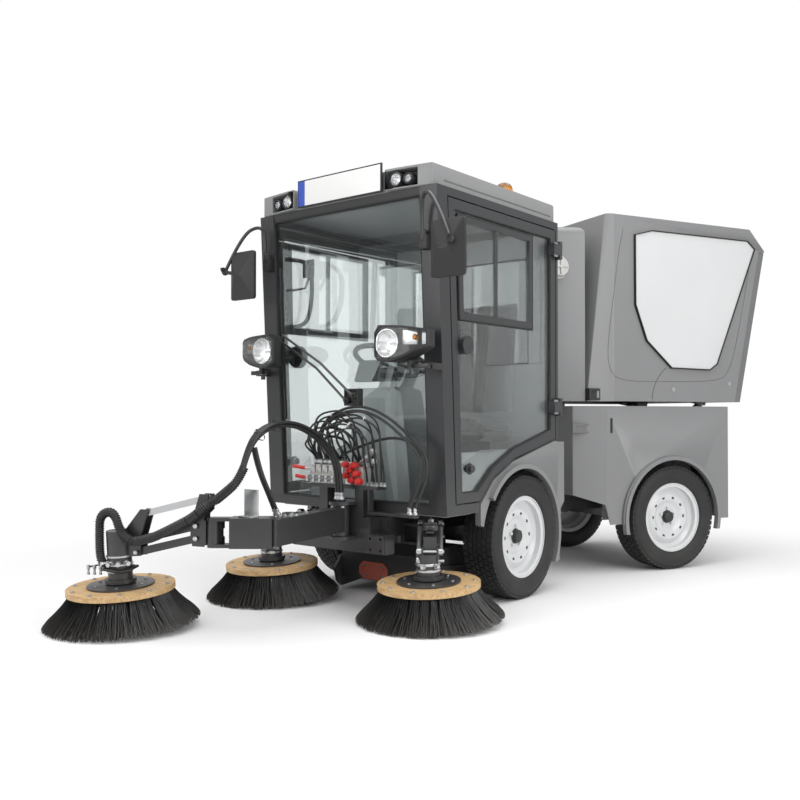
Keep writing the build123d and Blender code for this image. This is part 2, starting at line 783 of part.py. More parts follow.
def brush_motor(height=motor_height):
    low = bristle_height + board_wall + 14 + fit_gap
    motor = rod((0, 0, low), (0, 0, low + 16), 64)
    return motor + rod((0, 0, low), (0, 0, low + height), motor_radius)


def side_brush_at(s):
    swing = side_swing_left if s > 0 else side_swing_right
    a = math.radians(swing)
    return (s * (side_hinge_x + side_reach * math.sin(a)), side_hinge_y - side_reach * math.cos(a))


def side_arm(s):
    """Swing arm from its upright pin to the brush motor, with the two relief tubes."""
    hinge = (s * side_hinge_x, side_hinge_y)
    brush = side_brush_at(s)
    hub = ring((*hinge, side_low), (*hinge, side_high), 42, side_pin + fit_gap)
    arm = bar(hinge, brush, 56, side_low + 12, side_high - 12, after=10)
    arm -= rod((*hinge, side_low - 5), (*hinge, side_high + 5), side_pin + fit_gap)
    motor = placed_brush(brush) * brush_motor()
    post = bar(hinge, brush, 56, 250, side_high - 12, before=-side_reach + 30, after=10)
    return hub + arm + post + motor


# Third brush arm, in its own frame: x runs outwards from the elbow pin


def elbow_place():
    dx = front_brush[0] - elbow_pin[0]
    dy = front_brush[1] - elbow_pin[1]
    return Pos(elbow_pin[0], elbow_pin[1], 0) * Rot(0, 0, math.degrees(math.atan2(dy, dx)))


def boom():
    hub = rod((*boom_pin, boom_low - 21), (*boom_pin, boom_high + 10), 36)
    beam = bar(boom_pin, boom_end, boom_width, boom_low, boom_high, after=40)
    head = bar(boom_end, elbow_pin, 100, boom_low - 8, boom_high + 4, before=-10, after=-70)
    lugs = bar(boom_end, elbow_pin, 52, boom_low - 8, boom_low + 6, before=-120)
    lugs += bar(boom_end, elbow_pin, 52, boom_high - 10, boom_high + 4, before=-120)
    lugs += rod((*elbow_pin, boom_low - 8), (*elbow_pin, boom_low + 6), 26)
    lugs += rod((*elbow_pin, boom_high - 10), (*elbow_pin, boom_high + 4), 26)
    pin = rod((*elbow_pin, boom_low - 8), (*elbow_pin, boom_high + 4), elbow_pin_radius)
    result = hub + beam + head + lugs + pin
    result -= rod((*boom_pin, boom_low - 30), (*boom_pin, boom_high + 30), boom_pin_radius + fit_gap)
    return result


def elbow():
    low = boom_low + 6 + fit_gap
    high = boom_high - 10 - fit_gap
    hub = ring((0, 0, low), (0, 0, high), 26, elbow_pin_radius + fit_gap)
    result = hub
    half = link_width / 2 + 2
    for t in (half, -half - plate_wall):
        plate = Pos(0, t, 0) * extrude(
            make_face(Polyline((22, 0, low + 2), (32, 0, low - 8), (32, 0, 352), (84, 0, 352), (94, 0, 384),
                               (92, 0, 440), (52, 0, 562), (12, 0, 562), (12, 0, 500), (32, 0, 482),
                               (32, 0, high + 6), (22, 0, high - 2), close=True)),
            amount=plate_wall, dir=(0, 1, 0),
        )
        result += plate
    for d, z in (link_upper, link_lower, link_strut):
        result += rod((d, -half - plate_wall, z), (d, half + plate_wall, z), link_pin)
    result += block(24, 34, -half - plate_wall, half + plate_wall, low + 2, high - 2)
    return elbow_place() * result


def link(start, width=link_width, height=link_height):
    d, z = start
    end = (d + link_run, z + link_drop)
    length = math.hypot(link_run, link_drop)
    tilt = -math.degrees(math.atan2(link_drop, link_run))
    body = Pos(d, 0, z) * Rot(0, tilt, 0) * block(0, length, -width / 2, width / 2, -height / 2, height / 2)
    for x, h in (start, end):
        body += rod((x, -width / 2, h), (x, width / 2, h), height / 2)
    for x, h in (start, end):
        body -= rod((x, -width, h), (x, width, h), link_pin + fit_gap)
    return elbow_place() * body


def head():
    half = link_width / 2 + 2
    reach = math.hypot(front_brush[0] - elbow_pin[0], front_brush[1] - elbow_pin[1])
    result = None
    ends = [(d + link_run, z + link_drop) for d, z in (link_upper, link_lower, link_strut)]
    (ux, uz), (lx, lz), (sx, sz) = ends
    for t in (half, -half - plate_wall):
        plate = Pos(0, t, 0) * extrude(
            make_face(Polyline((lx - 18, 0, lz - 14), (lx + 24, 0, lz - 18), (reach - 20, 0, lz - 12),
                               (reach - 20, 0, uz + 30), (sx + 20, 0, sz + 16), (sx - 18, 0, sz + 16),
                               (lx - 18, 0, uz + 10), close=True)),
            amount=plate_wall, dir=(0, 1, 0),
        )
        result = plate if result is None else result + plate
    for d, z in ends:
        result += rod((d, -half - plate_wall, z), (d, half + plate_wall, z), link_pin)
    result += block(reach - 56, reach - 42, -half - plate_wall, half + plate_wall, lz - 10, uz + 20)
    result = elbow_place() * result
    return result + placed_brush(front_brush) * brush_motor(third_motor_height)


def suction_mouth():
    """Nozzle box under the front of the cab, on two skids."""
    y0, y1 = -345.0, -75.0
    top = side_plate([(y0, 60), (y0, 200), (y0 + 60, 250), (y1 - 60, 250), (y1, 180), (y1, 60)], -300, 300)
    cavity = side_plate([(y0 + 8, 59), (y0 + 8, 196), (y0 + 64, 242), (y1 - 64, 242), (y1 - 8, 176), (y1 - 8, 59)],
                        -292, 292)
    mouth = top - cavity
    for s in (-1, 1):
        x0, x1 = sorted((s * 300, s * 316))
        mouth += side_plate([(y0 - 30, 40), (y0 - 50, 110), (y0, 170), (y1, 150), (y1, 40), (y0, 12)], x0, x1)
        x0, x1 = sorted((s * (rail_half - 45), s * (rail_half - 15)))
        mouth += block(x0, x1, -250, -170, 245, rail_low - fit_gap)
    duct = ring((0, -210, 236), (0, -210, 320), 80, 74)
    mouth -= rod((0, -210, 230), (0, -210, 260), 74)
    return mouth + duct


# Rear body


def body_plan(inset=0.0):
    i = inset
    return [
        (-body_front_half + i, body_front + i), (body_front_half - i, body_front + i),
        (body_half - i, body_facet + 0.3 * i), (body_half - i, body_rear - i),
        (-body_half + i, body_rear - i), (-body_half + i, body_facet + 0.3 * i),
    ]


def rear_body():
    """Engine bay cover: hollow, open below, with the wheel arches cut."""
    shell = plan_plate(body_plan(), body_low, body_high)
    shell -= plan_plate(body_plan(body_wall), body_low - 1, body_high - body_wall)
    low_front = side_plate([(body_front - 5, body_low - 5), (body_front - 5, 440), (1095, 384), (1130, body_low - 5)],
                           -600, 600)
    shell -= low_front
    shell -= rod((-700, wheelbase, tyre_radius), (700, wheelbase, tyre_radius), arch_inner)
    shell -= block(-700, 700, wheelbase - arch_inner, wheelbase + arch_inner, body_low - 5, tyre_radius)
    lip = ring((body_half - 8, wheelbase, tyre_radius), (body_half + 22, wheelbase, tyre_radius),
               arch_outer, arch_inner)
    lip -= block(0, body_half + 100, wheelbase - 500, wheelbase + 500, -200, 215)
    lip += mirror(lip, about=Plane.YZ)
    shell += lip
    # Liner walls that close the bay beside the wheels
    for s in (-1, 1):
        x0, x1 = sorted((s * arch_liner, s * (arch_liner + 6)))
        wall = block(x0, x1, wheelbase - 327, wheelbase + 333, body_low, liner_z - fit_gap)
        wall -= rod((-700, wheelbase, tyre_radius), (700, wheelbase, tyre_radius), 110)
        x0, x1 = sorted((s * arch_liner, s * (body_half - body_wall - fit_gap)))
        shell += wall
        shell += block(x0, x1, wheelbase - 327, wheelbase + 333, liner_z, liner_z + 6)
    # Openings for the tipping posts and the lift cylinder
    for s in (-1, 1):
        x0, x1 = sorted((s * post_inner, s * post_outer))
        shell -= block(x0, x1, body_rear - 120, body_rear + 5, tip_z - 110, body_high + 5)
    shell -= block(lift_x - 50, post_outer, lift_foot[0] - 80, lift_foot[0] + 330, body_high - 20, body_high + 5)
    shell -= block(-120, 120, body_front - 5, body_front + 20, 370, 570)
    shell -= block(-tow_half - 8, tow_half + 8, body_rear - 20, body_rear + 5, tow_z - tow_wall - 8, tow_z + 8)
    # Seams between the panels: deck, front, rear, sides and facets
    under = body_high - body_wall
    seams = block(-body_half, body_half, body_front, body_rear, under - fit_gap, under)
    for y in (body_front + body_wall, body_facet, body_rear - body_wall - fit_gap):
        seams += block(-body_half, body_half, y, y + fit_gap, body_low, under)
    for x in (-post_outer, -post_inner, lift_x - 50, post_inner, post_outer):
        seams += block(x, x + fit_gap, body_front, body_rear, under, body_high)
    return shell - seams


post_inner = 286.0
post_outer = 358.0
liner_z = 700.0
lift_x = 290.0
lift_foot = (1330.0, 440.0)
lift_eye = (1560.0, 900.0)
lift_bore_start = 60.0
lift_dead = 42.0


def engine():
    """Engine, pump and fan as one block on two cross feet."""
    mass = block(-175, 175, body_front + 200, body_rear - 216, rail_high + 25, body_high - 70)
    for y in (body_front + 270, body_rear - 316):
        mass += block(-rail_half + 5, rail_half - 5, y, y + 60, rail_high + fit_gap, rail_high + 30)
    return mass


def hopper_side(inset=0.0):
    i = inset
    return [
        (hopper_front - 10 + i, hopper_low + i), (hopper_front + hopper_lean + 0.5 * i, hopper_high - i),
        (hopper_top_rear, hopper_high - i), (hopper_rear_high - 1.2 * i, hopper_shoulder - 0.3 * i),
        (hopper_rear_low, hopper_low + i),
    ]


def hopper_plan(inset=0.0):
    i = inset
    far = hopper_rear_high + 100
    return [
        (-hopper_front_half + i, hopper_front - 20), (hopper_front_half - i, hopper_front - 20),
        (hopper_front_half - 0.6 * i, hopper_front), (body_half - i, hopper_facet), (body_half - i, far),
        (-body_half + i, far), (-body_half + i, hopper_facet), (-hopper_front_half + 0.6 * i, hopper_front),
    ]


door_slab = 44.0


def rear_cut(offset):
    """Everything behind the hopper's raked rear face, moved forward by offset."""
    dy = hopper_rear_high - hopper_rear_low
    dz = hopper_shoulder - hopper_low
    rake = dy / dz
    y_low = hopper_rear_low - offset - rake * beyond
    y_high = hopper_rear_low - offset + rake * (dz + beyond)
    far = y_high + beyond
    return side_plate([(y_low, hopper_low - beyond), (y_high, hopper_shoulder + beyond),
                       (far, hopper_shoulder + beyond), (far, hopper_low - beyond)],
                      -body_half - 50, body_half + 50)


def hopper_shell():
    outer = side_plate(hopper_side(), -body_half, body_half) & plan_plate(hopper_plan(), hopper_low - 50, hopper_high + 50)
    w = hopper_wall
    inner = side_plate(hopper_side(w), -body_half + w, body_half - w) & plan_plate(
        hopper_plan(w), hopper_low - 50, hopper_high + 50)
    shell = outer - inner
    # The lower part of the back is open for the door, up to the shoulder
    top = hopper_shoulder - 12
    cut = rear_cut(door_slab + fit_gap) - block(-body_half - 60, body_half + 60, 0, 20 * beyond, top, 20 * beyond)
    shell -= cut
    # Lugs for the tipping pins and the lift cylinder's eye
    for s in (-1, 1):
        x0, x1 = sorted((s * 332, s * 352))
        lug = side_plate([(tip_y - 110, hopper_low + 2), (tip_y - 30, tip_z - 18), (tip_y + 8, tip_z - 24),
                          (tip_y + 22, tip_z), (tip_y + 8, hopper_low + 4)], x0, x1)
        shell += lug
        shell -= rod((s * 325, tip_y, tip_z), (s * 365, tip_y, tip_z), tip_pin + fit_gap)
        shell -= block(*sorted((s * 284, s * 331.5)), tip_y - 36, tip_y + 34, tip_z - 60, tip_z + 34)
    for x in (lift_x - 30, lift_x + 22):
        shell += side_plate(
            [(lift_eye[0] - 40, hopper_low + 2), (lift_eye[0] - 20, lift_eye[1] - 18),
             (lift_eye[0] + 20, lift_eye[1] - 18), (lift_eye[0] + 40, hopper_low + 2)], x, x + 8,
        )
    # Lugs and pins of the rear door's hinge
    y, z = rear_hinge()
    for s in (-1, 1):
        x = s * rear_hinge_x
        shell -= rod((x - 32, y, z), (x + 32, y, z), rear_barrel + 2)
        for x0, x1 in ((x - 44, x - 30 - fit_gap), (x + 30 + fit_gap, x + 44)):
            lug = rod((x0, y, z), (x1, y, z), rear_barrel)
            lug += block(x0, x1, y - 30, y + rear_barrel - 2, z, z + 26)
            shell += lug
        shell += rod((x - 44, y, z), (x + 44, y, z), rear_pin)
    return shell


rear_hinge_x = 380.0
rear_barrel = 13.0
rear_pin = 6.0


def rear_hinge():
    """(y, z) of the rear door's hinge axis, on the raked face just under the shoulder."""
    rake = (hopper_rear_high - hopper_rear_low) / (hopper_shoulder - hopper_low)
    z = hopper_shoulder - 12
    return hopper_rear_low + rake * (z - hopper_low) + 3, z


def panel_outline():
    return [
        (1298, hopper_shoulder + 12), (1420, hopper_shoulder + 45), (hopper_top_rear - 31, hopper_shoulder + 45),
        (hopper_top_rear + 26, hopper_shoulder), (1905, 1180), (1850, 1145), (1560, 1150), (1380, 1300),
        (1300, 1500),
    ]


def hopper_panels():
    panel = side_plate(panel_outline(), body_half + fit_gap, body_half + 8)
    return left_right(panel)


def hopper_door():
    """Raked rear door that hangs from a hinge under the shoulder."""
    slab = rear_cut(door_slab) - rear_cut(0)
    slab &= block(-body_half + 2, body_half - 2, hopper_front, hopper_rear_high + beyond,
                  hopper_low + 1, hopper_shoulder - 14)
    y, z = rear_hinge()
    for s in (-1, 1):
        x = s * rear_hinge_x
        for x0, x1 in ((x - 46, x - 30), (x + 30, x + 46)):
            slab -= block(x0, x1, y - 60, y + 40, z - rear_barrel - 5, z + 40)
        barrel = rod((x - 30, y, z), (x + 30, y, z), rear_barrel)
        leaf = block(x - 30, x + 30, y - 10, y + rear_barrel - 2, z - 40, z)
        slab += barrel + leaf
        slab -= rod((x - 60, y, z), (x + 60, y, z), rear_pin + fit_gap)
    return slab


def water_tank():
    plan = [
        (-tank_front_half, tank_front), (tank_front_half, tank_front),
        (hopper_front_half - 8, hopper_front - 16), (-hopper_front_half + 8, hopper_front - 16),
    ]
    tank = plan_plate(plan, hopper_low, tank_high)
    seat = block(-300, 300, 950, hopper_front - 16, body_high + fit_gap, hopper_low + 10)
    tank = fillet(tank.edges().filter_by(Axis.Z).sort_by(Axis.Y)[:2], 90)
    tank = fillet(tank.faces().sort_by(Axis.Z)[-1].edges(), 40)
    return tank + seat


def lift_barrel():
    foot = (lift_x, *lift_foot)
    direction = Vector(0, lift_eye[0] - lift_foot[0], lift_eye[1] - lift_foot[1]).normalized()
    start = Vector(*foot) + direction * 14
    reach = math.hypot(lift_eye[0] - lift_foot[0], lift_eye[1] - lift_foot[1])
    end = Vector(*foot) + direction * (reach - lift_dead)
    barrel = rod(tuple(start), tuple(end), 26)
    barrel += rod((lift_x - 18, *lift_foot), (lift_x + 18, *lift_foot), 22)
    barrel -= rod((lift_x - 40, *lift_foot), (lift_x + 40, *lift_foot), 12 + fit_gap)
    bore = rod(tuple(Vector(*foot) + direction * lift_bore_start), tuple(end + direction * 10), 15 + fit_gap)
    return barrel - bore


def lift_rod():
    foot = Vector(lift_x, *lift_foot)
    eye = Vector(lift_x, *lift_eye)
    direction = (eye - foot).normalized()
    shaft = rod(tuple(foot + direction * (lift_bore_start + 5)), tuple(eye - direction * 16), 15)
    return shaft + rod((lift_x - 16, *lift_eye), (lift_x + 16, *lift_eye), 20)


# All nodes, by the module that carries them

front_nodes = {
    "front_frame": front_frame,
    "cab_frame": cab_frame,
    "cab_shell": cab_shell,
    "cab_glass": windscreen,
    "roof": roof,
    "number_plate": number_plate,
    "beacon": beacon,
    "fenders_front": fenders_front,
    "door_left": lambda: door_shape(1),
    "door_right": lambda: door_shape(-1),
    "door_left_glass": lambda: door_pane(1),
    "door_right_glass": lambda: door_pane(-1),
    "console": console,
    "steering_wheel": steering_wheel,
    "seat_base": seat_base,
    "seat_cushion": seat_cushion,
    "seat_back": seat_back,
    "headlamps": lamps_front,
    "headlamp_lenses": lamp_lenses,
    "mirrors": mirrors,
    "wiper": wiper,
    "front_carrier": front_carrier,
    "hydraulic_block": hydraulic_block,
    "suction_mouth": suction_mouth,
    "wheel_front_left": lambda: wheel(1, 0),
    "wheel_front_right": lambda: wheel(-1, 0),
    "tyre_front_left": lambda: tyre(1, 0),
    "tyre_front_right": lambda: tyre(-1, 0),
    "side_arm_left": lambda: side_arm(1),
    "side_arm_right": lambda: side_arm(-1),
    "brush_left": lambda: placed_brush(side_brush_at(1)) * brush_board(),
    "brush_right": lambda: placed_brush(side_brush_at(-1)) * brush_board(),
    "brush_front": lambda: placed_brush(front_brush) * brush_board(),
    "bristles_left": lambda: placed_brush(side_brush_at(1)) * brush_bristles(),
    "bristles_right": lambda: placed_brush(side_brush_at(-1)) * brush_bristles(),
    "bristles_front": lambda: placed_brush(front_brush) * brush_bristles(),
    "boom": boom,
    "elbow": elbow,
    "link_upper": lambda: link(link_upper),
    "link_lower": lambda: link(link_lower),
    "strut": lambda: link(link_strut, height=26),
    "brush_head": head,
}
rear_nodes = {
    "rear_frame": rear_frame,
    "rear_body": rear_body,
    "engine": engine,
    "water_tank": water_tank,
    "hopper": hopper_shell,
    "hopper_panels": hopper_panels,
    "hopper_door": hopper_door,
    "lift_barrel": lift_barrel,
    "lift_rod": lift_rod,
    "wheel_rear_left": lambda: wheel(1, wheelbase),
    "wheel_rear_right": lambda: wheel(-1, wheelbase),
    "tyre_rear_left": lambda: tyre(1, wheelbase),
    "tyre_rear_right": lambda: tyre(-1, wheelbase),
}

rear_place = Pos(0, pivot_y, 0) * Rot(0, 0, -photo_bend) * Pos(0, -pivot_y, 0)


def build():
    """Returns every node in place, and the shift that brought the origin to the box's middle."""
    shapes = {name: make() for name, make in front_nodes.items()}
    for name, make in rear_nodes.items():
        shapes[name] = rear_place * make()
    boxes = [shape.bounding_box() for shape in shapes.values()]
    middle_x = (min(b.min.X for b in boxes) + max(b.max.X for b in boxes)) / 2
    middle_y = (min(b.min.Y for b in boxes) + max(b.max.Y for b in boxes)) / 2
    shift = (-middle_x, -middle_y)
    return {name: Pos(*shift, 0) * shape for name, shape in shapes.items()}, shift


if __name__ == "__main__":
    os.makedirs("parts", exist_ok=True)
    nodes, shift = build()
    for name, shape in nodes.items():
        export_step(shape, f"parts/{name}.step")
    print(len(nodes), "nodes, origin moved by", [round(v, 1) for v in shift])
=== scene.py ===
# %% [markdown]
# # A compact street sweeper, dressed in Blender
# The CAD model gives every hard piece its size and place. This lesson loads it as a fixed
# frame, gives each piece its finish, and adds what a designer leaves out of CAD: tread,
# bristles, bolts, hoses and the soft seat.

# %% Load the frame
import json
import math

import bmesh
import bpy
from mathutils import Matrix, Vector
from mathutils.bvhtree import BVHTree

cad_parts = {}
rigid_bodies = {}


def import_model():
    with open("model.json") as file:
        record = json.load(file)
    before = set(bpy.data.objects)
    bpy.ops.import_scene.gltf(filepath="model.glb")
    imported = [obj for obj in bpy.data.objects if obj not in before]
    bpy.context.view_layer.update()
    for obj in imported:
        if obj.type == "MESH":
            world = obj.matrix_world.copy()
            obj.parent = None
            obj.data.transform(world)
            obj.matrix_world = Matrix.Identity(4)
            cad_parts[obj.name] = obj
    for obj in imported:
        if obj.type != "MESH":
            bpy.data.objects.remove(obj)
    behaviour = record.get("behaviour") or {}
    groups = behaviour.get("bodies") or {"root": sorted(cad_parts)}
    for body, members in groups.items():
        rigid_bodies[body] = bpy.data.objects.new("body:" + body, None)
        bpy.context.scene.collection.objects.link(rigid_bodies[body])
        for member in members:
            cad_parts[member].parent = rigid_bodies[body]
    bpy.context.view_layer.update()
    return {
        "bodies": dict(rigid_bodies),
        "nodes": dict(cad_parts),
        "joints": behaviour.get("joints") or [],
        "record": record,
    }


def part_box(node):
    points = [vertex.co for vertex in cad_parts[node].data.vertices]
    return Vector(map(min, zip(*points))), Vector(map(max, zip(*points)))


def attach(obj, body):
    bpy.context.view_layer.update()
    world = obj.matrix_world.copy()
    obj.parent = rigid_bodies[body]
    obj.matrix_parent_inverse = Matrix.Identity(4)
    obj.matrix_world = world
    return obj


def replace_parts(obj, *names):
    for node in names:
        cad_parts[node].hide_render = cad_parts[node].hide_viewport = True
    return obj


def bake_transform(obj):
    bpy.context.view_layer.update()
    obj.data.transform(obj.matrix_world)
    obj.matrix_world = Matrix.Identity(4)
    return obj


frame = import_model()
nodes = frame["nodes"]

# %% [markdown]
# ## The machine's own places
# The front module stands square to the world. The rear module is turned about the centre
# pivot, as in the photograph, so a piece on it is built straight and then turned.
# The numbers are metres on the machine, measured from the ground under the front axle.

# %% Places and turns
tyre_boxes = [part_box("tyre_front_left"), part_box("tyre_front_right")]
SHIFT = Vector([(min(low[k] for low, high in tyre_boxes) + max(high[k] for low, high in tyre_boxes)) / 2
                for k in range(2)] + [0.0])
FORWARD = (0, -1, 0)
UP = (0, 0, 1)
PIVOT_Y = 0.915
BEND = math.radians(25.7)
WHEELBASE = 1.567
RIM_PLANE = 0.566

to_front = Matrix.Translation(SHIFT)
to_rear = (
    Matrix.Translation(SHIFT)
    @ Matrix.Translation((0, PIVOT_Y, 0))
    @ Matrix.Rotation(-BEND, 4, "Z")
    @ Matrix.Translation((0, -PIVOT_Y, 0))
)

# %% [markdown]
# ## Camera
# The camera stands in front and to the left of the machine, a little below the middle of its
# height. Its place, tilt and lens are solved from the photograph.

# %% Camera
CAMERA_LENS = 40.94
CAMERA_AZIMUTH = 38.846
CAMERA_TILT_UP = 0.736
CAMERA_SENSOR = 36.0
CAMERA_PLACE = (2.846, -3.781, 0.875)
PICTURE_RAISED = 4.2 / 800

camera_data = bpy.data.cameras.new("camera")
camera = bpy.data.objects.new("camera", camera_data)
bpy.context.scene.collection.objects.link(camera)
camera_data.lens = CAMERA_LENS
camera_data.sensor_width = CAMERA_SENSOR
camera_data.shift_y = PICTURE_RAISED
camera.location = Vector(CAMERA_PLACE) + SHIFT
camera.rotation_euler = (math.radians(90 + CAMERA_TILT_UP), 0, math.radians(CAMERA_AZIMUTH))
bpy.context.scene.camera = camera

# %% [markdown]
# ## Material helpers
# Effects that several finishes share are node groups: a fine orange-peel grain, and road dust
# that gathers low down. A few short helpers make objects, materials and nodes.

# %% Object, material and node helpers


def placed(name, data):
    """A new object in the scene."""
    piece = bpy.data.objects.new(name, data)
    bpy.context.scene.collection.objects.link(piece)
    return piece


def baked(piece):
    """The object's mesh with its modifiers done."""
    graph = bpy.context.evaluated_depsgraph_get()
    return bpy.data.meshes.new_from_object(piece.evaluated_get(graph), depsgraph=graph)


def new_material(name):
    """A material with its node tree and its Principled shader."""
    material = bpy.data.materials.new(name)
    material.use_nodes = True
    return material, material.node_tree, material.node_tree.nodes["Principled BSDF"]


def new_group(name, inputs, outputs):
    """A shader node group with named float, colour or vector sockets."""
    group = bpy.data.node_groups.new(name, "ShaderNodeTree")
    for label, kind, value in inputs:
        socket = group.interface.new_socket(name=label, in_out="INPUT", socket_type="NodeSocket" + kind)
        if value is not None:
            socket.default_value = value
    for label, kind in outputs:
        group.interface.new_socket(name=label, in_out="OUTPUT", socket_type="NodeSocket" + kind)
    start = group.nodes.new("NodeGroupInput")
    end = group.nodes.new("NodeGroupOutput")
    return group, start, end


def add(tree, kind, sockets=None, **settings):
    """A node with its settings; each socket takes a value, or a node and one of its outputs."""
    node = tree.nodes.new(kind)
    for key, value in settings.items():
        setattr(node, key, value)
    for socket, value in (sockets or {}).items():
        if isinstance(value, tuple) and isinstance(value[0], bpy.types.Node):
            wire(*value, node, socket)
        else:
            preset(node, socket, value)
    return node


def join(tree, source, target):
    tree.links.new(source, target)


def wire(source, out, target, into):
    """Link an output of one node to an input of another in the same tree."""
    source.id_data.links.new(source.outputs[out], target.inputs[into])


def preset(node, socket, value):
    node.inputs[socket].default_value = value


def maths(tree, operation, *values, **settings):
    """A Math node; each value is a number, or a node and one of its outputs."""
    return add(tree, "ShaderNodeMath", dict(enumerate(values)), operation=operation, **settings)


# %% Grain group
grain, g_in, g_out = new_group(
    "fine_grain",
    [("Scale", "Float", 300.0), ("Depth", "Float", 0.05),
     ("Detail", "Float", 3.0)],
    [("Height", "Float"), ("Value", "Float")],
)
coords = add(grain, "ShaderNodeTexCoord")
noise = add(grain, "ShaderNodeTexNoise", {"Vector": (coords, "Object"), "Scale": (g_in, "Scale"),
    "Detail": (g_in, "Detail")})
scale_height = maths(grain, "MULTIPLY", (noise, "Fac"), (g_in, "Depth"))
wire(scale_height, 0, g_out, "Height")
wire(noise, "Fac", g_out, "Value")

# %% [markdown]
# Dust is strongest near the ground and in broken patches, so the group multiplies a falloff
# in height by a soft noise. It returns a mask, and each material mixes its own colours.

# %% Dust group
dust, d_in, d_out = new_group(
    "road_dust",
    [("Top", "Float", 0.5), ("Amount", "Float", 0.5),
     ("Clean Color", "Color", (0.5, 0.5, 0.5, 1)),
     ("Dust Color", "Color", (0.3, 0.28, 0.25, 1)),
     ("Clean Roughness", "Float", 0.4)],
    [("Color", "Color"), ("Roughness", "Float")],
)
coords = add(dust, "ShaderNodeTexCoord")
split = add(dust, "ShaderNodeSeparateXYZ", {0: (coords, "Object")})
fall = maths(dust, "DIVIDE", (split, "Z"), (d_in, "Top"))
low = maths(dust, "SUBTRACT", 1.0, (fall, 0), use_clamp=True)
patches = add(dust, "ShaderNodeTexNoise", {"Scale": 9.0, "Detail": 5.0, "Vector": (coords, "Object")})
mask = maths(dust, "MULTIPLY", (low, 0), (patches, "Fac"))
strength = maths(dust, "MULTIPLY", (mask, 0), (d_in, "Amount"), use_clamp=True)
blend = add(dust, "ShaderNodeMix", {0: (strength, 0), 6: (d_in, "Clean Color"), 7: (d_in, "Dust Color")},
    data_type="RGBA")
wire(blend, 2, d_out, "Color")
rough = maths(dust, "MULTIPLY_ADD", (strength, 0), 0.4, (d_in, "Clean Roughness"), use_clamp=True)
wire(rough, 0, d_out, "Roughness")

# %% [markdown]
# A coated surface is one Principled shader: the groups feed its colour, roughness and bump,
# while coat, metal and glass values are plain numbers on the shader.

# %% Finish maker


def finish(name, color, roughness, grain_scale=350.0, grain_depth=0.04, metallic=0.0, coat=0.0,
           coat_roughness=0.1, dust_amount=0.5, dust_top=0.6, bump=0.25, shade=0.06, specular=0.5):
    """A painted, moulded or plated finish with grain, shading variation and road dust."""
    material, tree, shader = new_material(name)
    preset(shader, "Metallic", metallic)
    preset(shader, "Specular IOR Level", specular)
    preset(shader, "Coat Weight", coat)
    preset(shader, "Coat Roughness", coat_roughness)
    grains = add(tree, "ShaderNodeGroup", {"Scale": grain_scale, "Depth": grain_depth}, node_tree=grain)
    clouds = add(tree, "ShaderNodeTexNoise", {"Scale": 2.2, "Detail": 4.0})
    place = add(tree, "ShaderNodeTexCoord")
    wire(place, "Object", clouds, "Vector")
    spread = add(tree, "ShaderNodeMapRange", {"To Min": 1.0 - shade, "To Max": 1.0 + shade,
        "Value": (clouds, "Fac")})
    tint = add(tree, "ShaderNodeVectorMath", {0: color, "Scale": (spread, "Result")}, operation="SCALE")
    dirt = add(tree, "ShaderNodeGroup", {"Top": dust_top, "Amount": dust_amount,
        "Clean Roughness": roughness, "Clean Color": (tint, 0)}, node_tree=dust)
    wire(dirt, "Color", shader, "Base Color")
    wire(dirt, "Roughness", shader, "Roughness")
    bumps = add(tree, "ShaderNodeBump", {"Strength": bump, "Distance": 0.002, "Height": (grains, "Height")})
    wire(bumps, "Normal", shader, "Normal")
    return material


# %% Finishes of the hard pieces
body_grey = finish("body_grey", (0.195, 0.197, 0.200), 0.42, 420, 0.05, coat=0.15, dust_amount=0.15)
lower_grey = finish("lower_grey", (0.135, 0.137, 0.140), 0.45, 420, 0.05, coat=0.1, dust_amount=0.25)
roof_grey = finish("roof_grey", (0.225, 0.227, 0.23), 0.4, 420, 0.05, coat=0.15, dust_amount=0.0)
frame_grey = finish("frame_grey", (0.028, 0.029, 0.031), 0.34, 500, 0.04, coat=0.2, dust_amount=0.15)
black_steel = finish("black_steel", (0.022, 0.022, 0.024), 0.34, 600, 0.05, coat=0.2, dust_amount=0.2)
black_plastic = finish("black_plastic", (0.018, 0.018, 0.019), 0.5, 900, 0.12, dust_amount=0.1)
bristle_black = finish("bristle_black", (0.012, 0.012, 0.013), 0.45, 900, 0.1, dust_amount=0.35,
    dust_top=0.12)
chrome = finish("chrome", (0.82, 0.83, 0.84), 0.12, 200, 0.01, metallic=1.0, dust_amount=0.0, shade=0.02)
mirror_glass = finish("mirror_glass", (0.75, 0.77, 0.78), 0.04, 200, 0.0, metallic=1.0, dust_amount=0.0,
    shade=0.02)
hose_rubber = finish("hose_rubber", (0.017, 0.017, 0.018), 0.42, 500, 0.06, dust_amount=0.1)
sleeve_rubber = finish("sleeve_rubber", (0.013, 0.013, 0.014), 0.5, 500, 0.05, dust_amount=0.2)
# Painted shade: the dark grey of the line drawn along the hopper's moulded crease.
crease_shade_grey = finish("crease_shade_grey", (0.07, 0.07, 0.072), 0.5, 500, 0.05, dust_amount=0.1)
rubber_seal = finish("rubber_seal", (0.012, 0.012, 0.012), 0.62, 700, 0.1, dust_amount=0.1)
cabin_grey = finish("cabin_grey", (0.36, 0.37, 0.375), 0.55, 900, 0.12, dust_amount=0.0)
wheel_white = finish("wheel_white", (0.62, 0.63, 0.64), 0.3, 500, 0.04, coat=0.4, dust_amount=0.3)
panel_silver = finish("panel_silver", (0.60, 0.605, 0.61), 0.36, 500, 0.02, metallic=0.15, dust_amount=0.0)
zinc = finish("zinc", (0.55, 0.56, 0.57), 0.3, 300, 0.04, metallic=0.9, dust_amount=0.2)
cast_block = finish("cast_block", (0.10, 0.10, 0.10), 0.6, 120, 0.3, metallic=0.3, dust_amount=0.4)
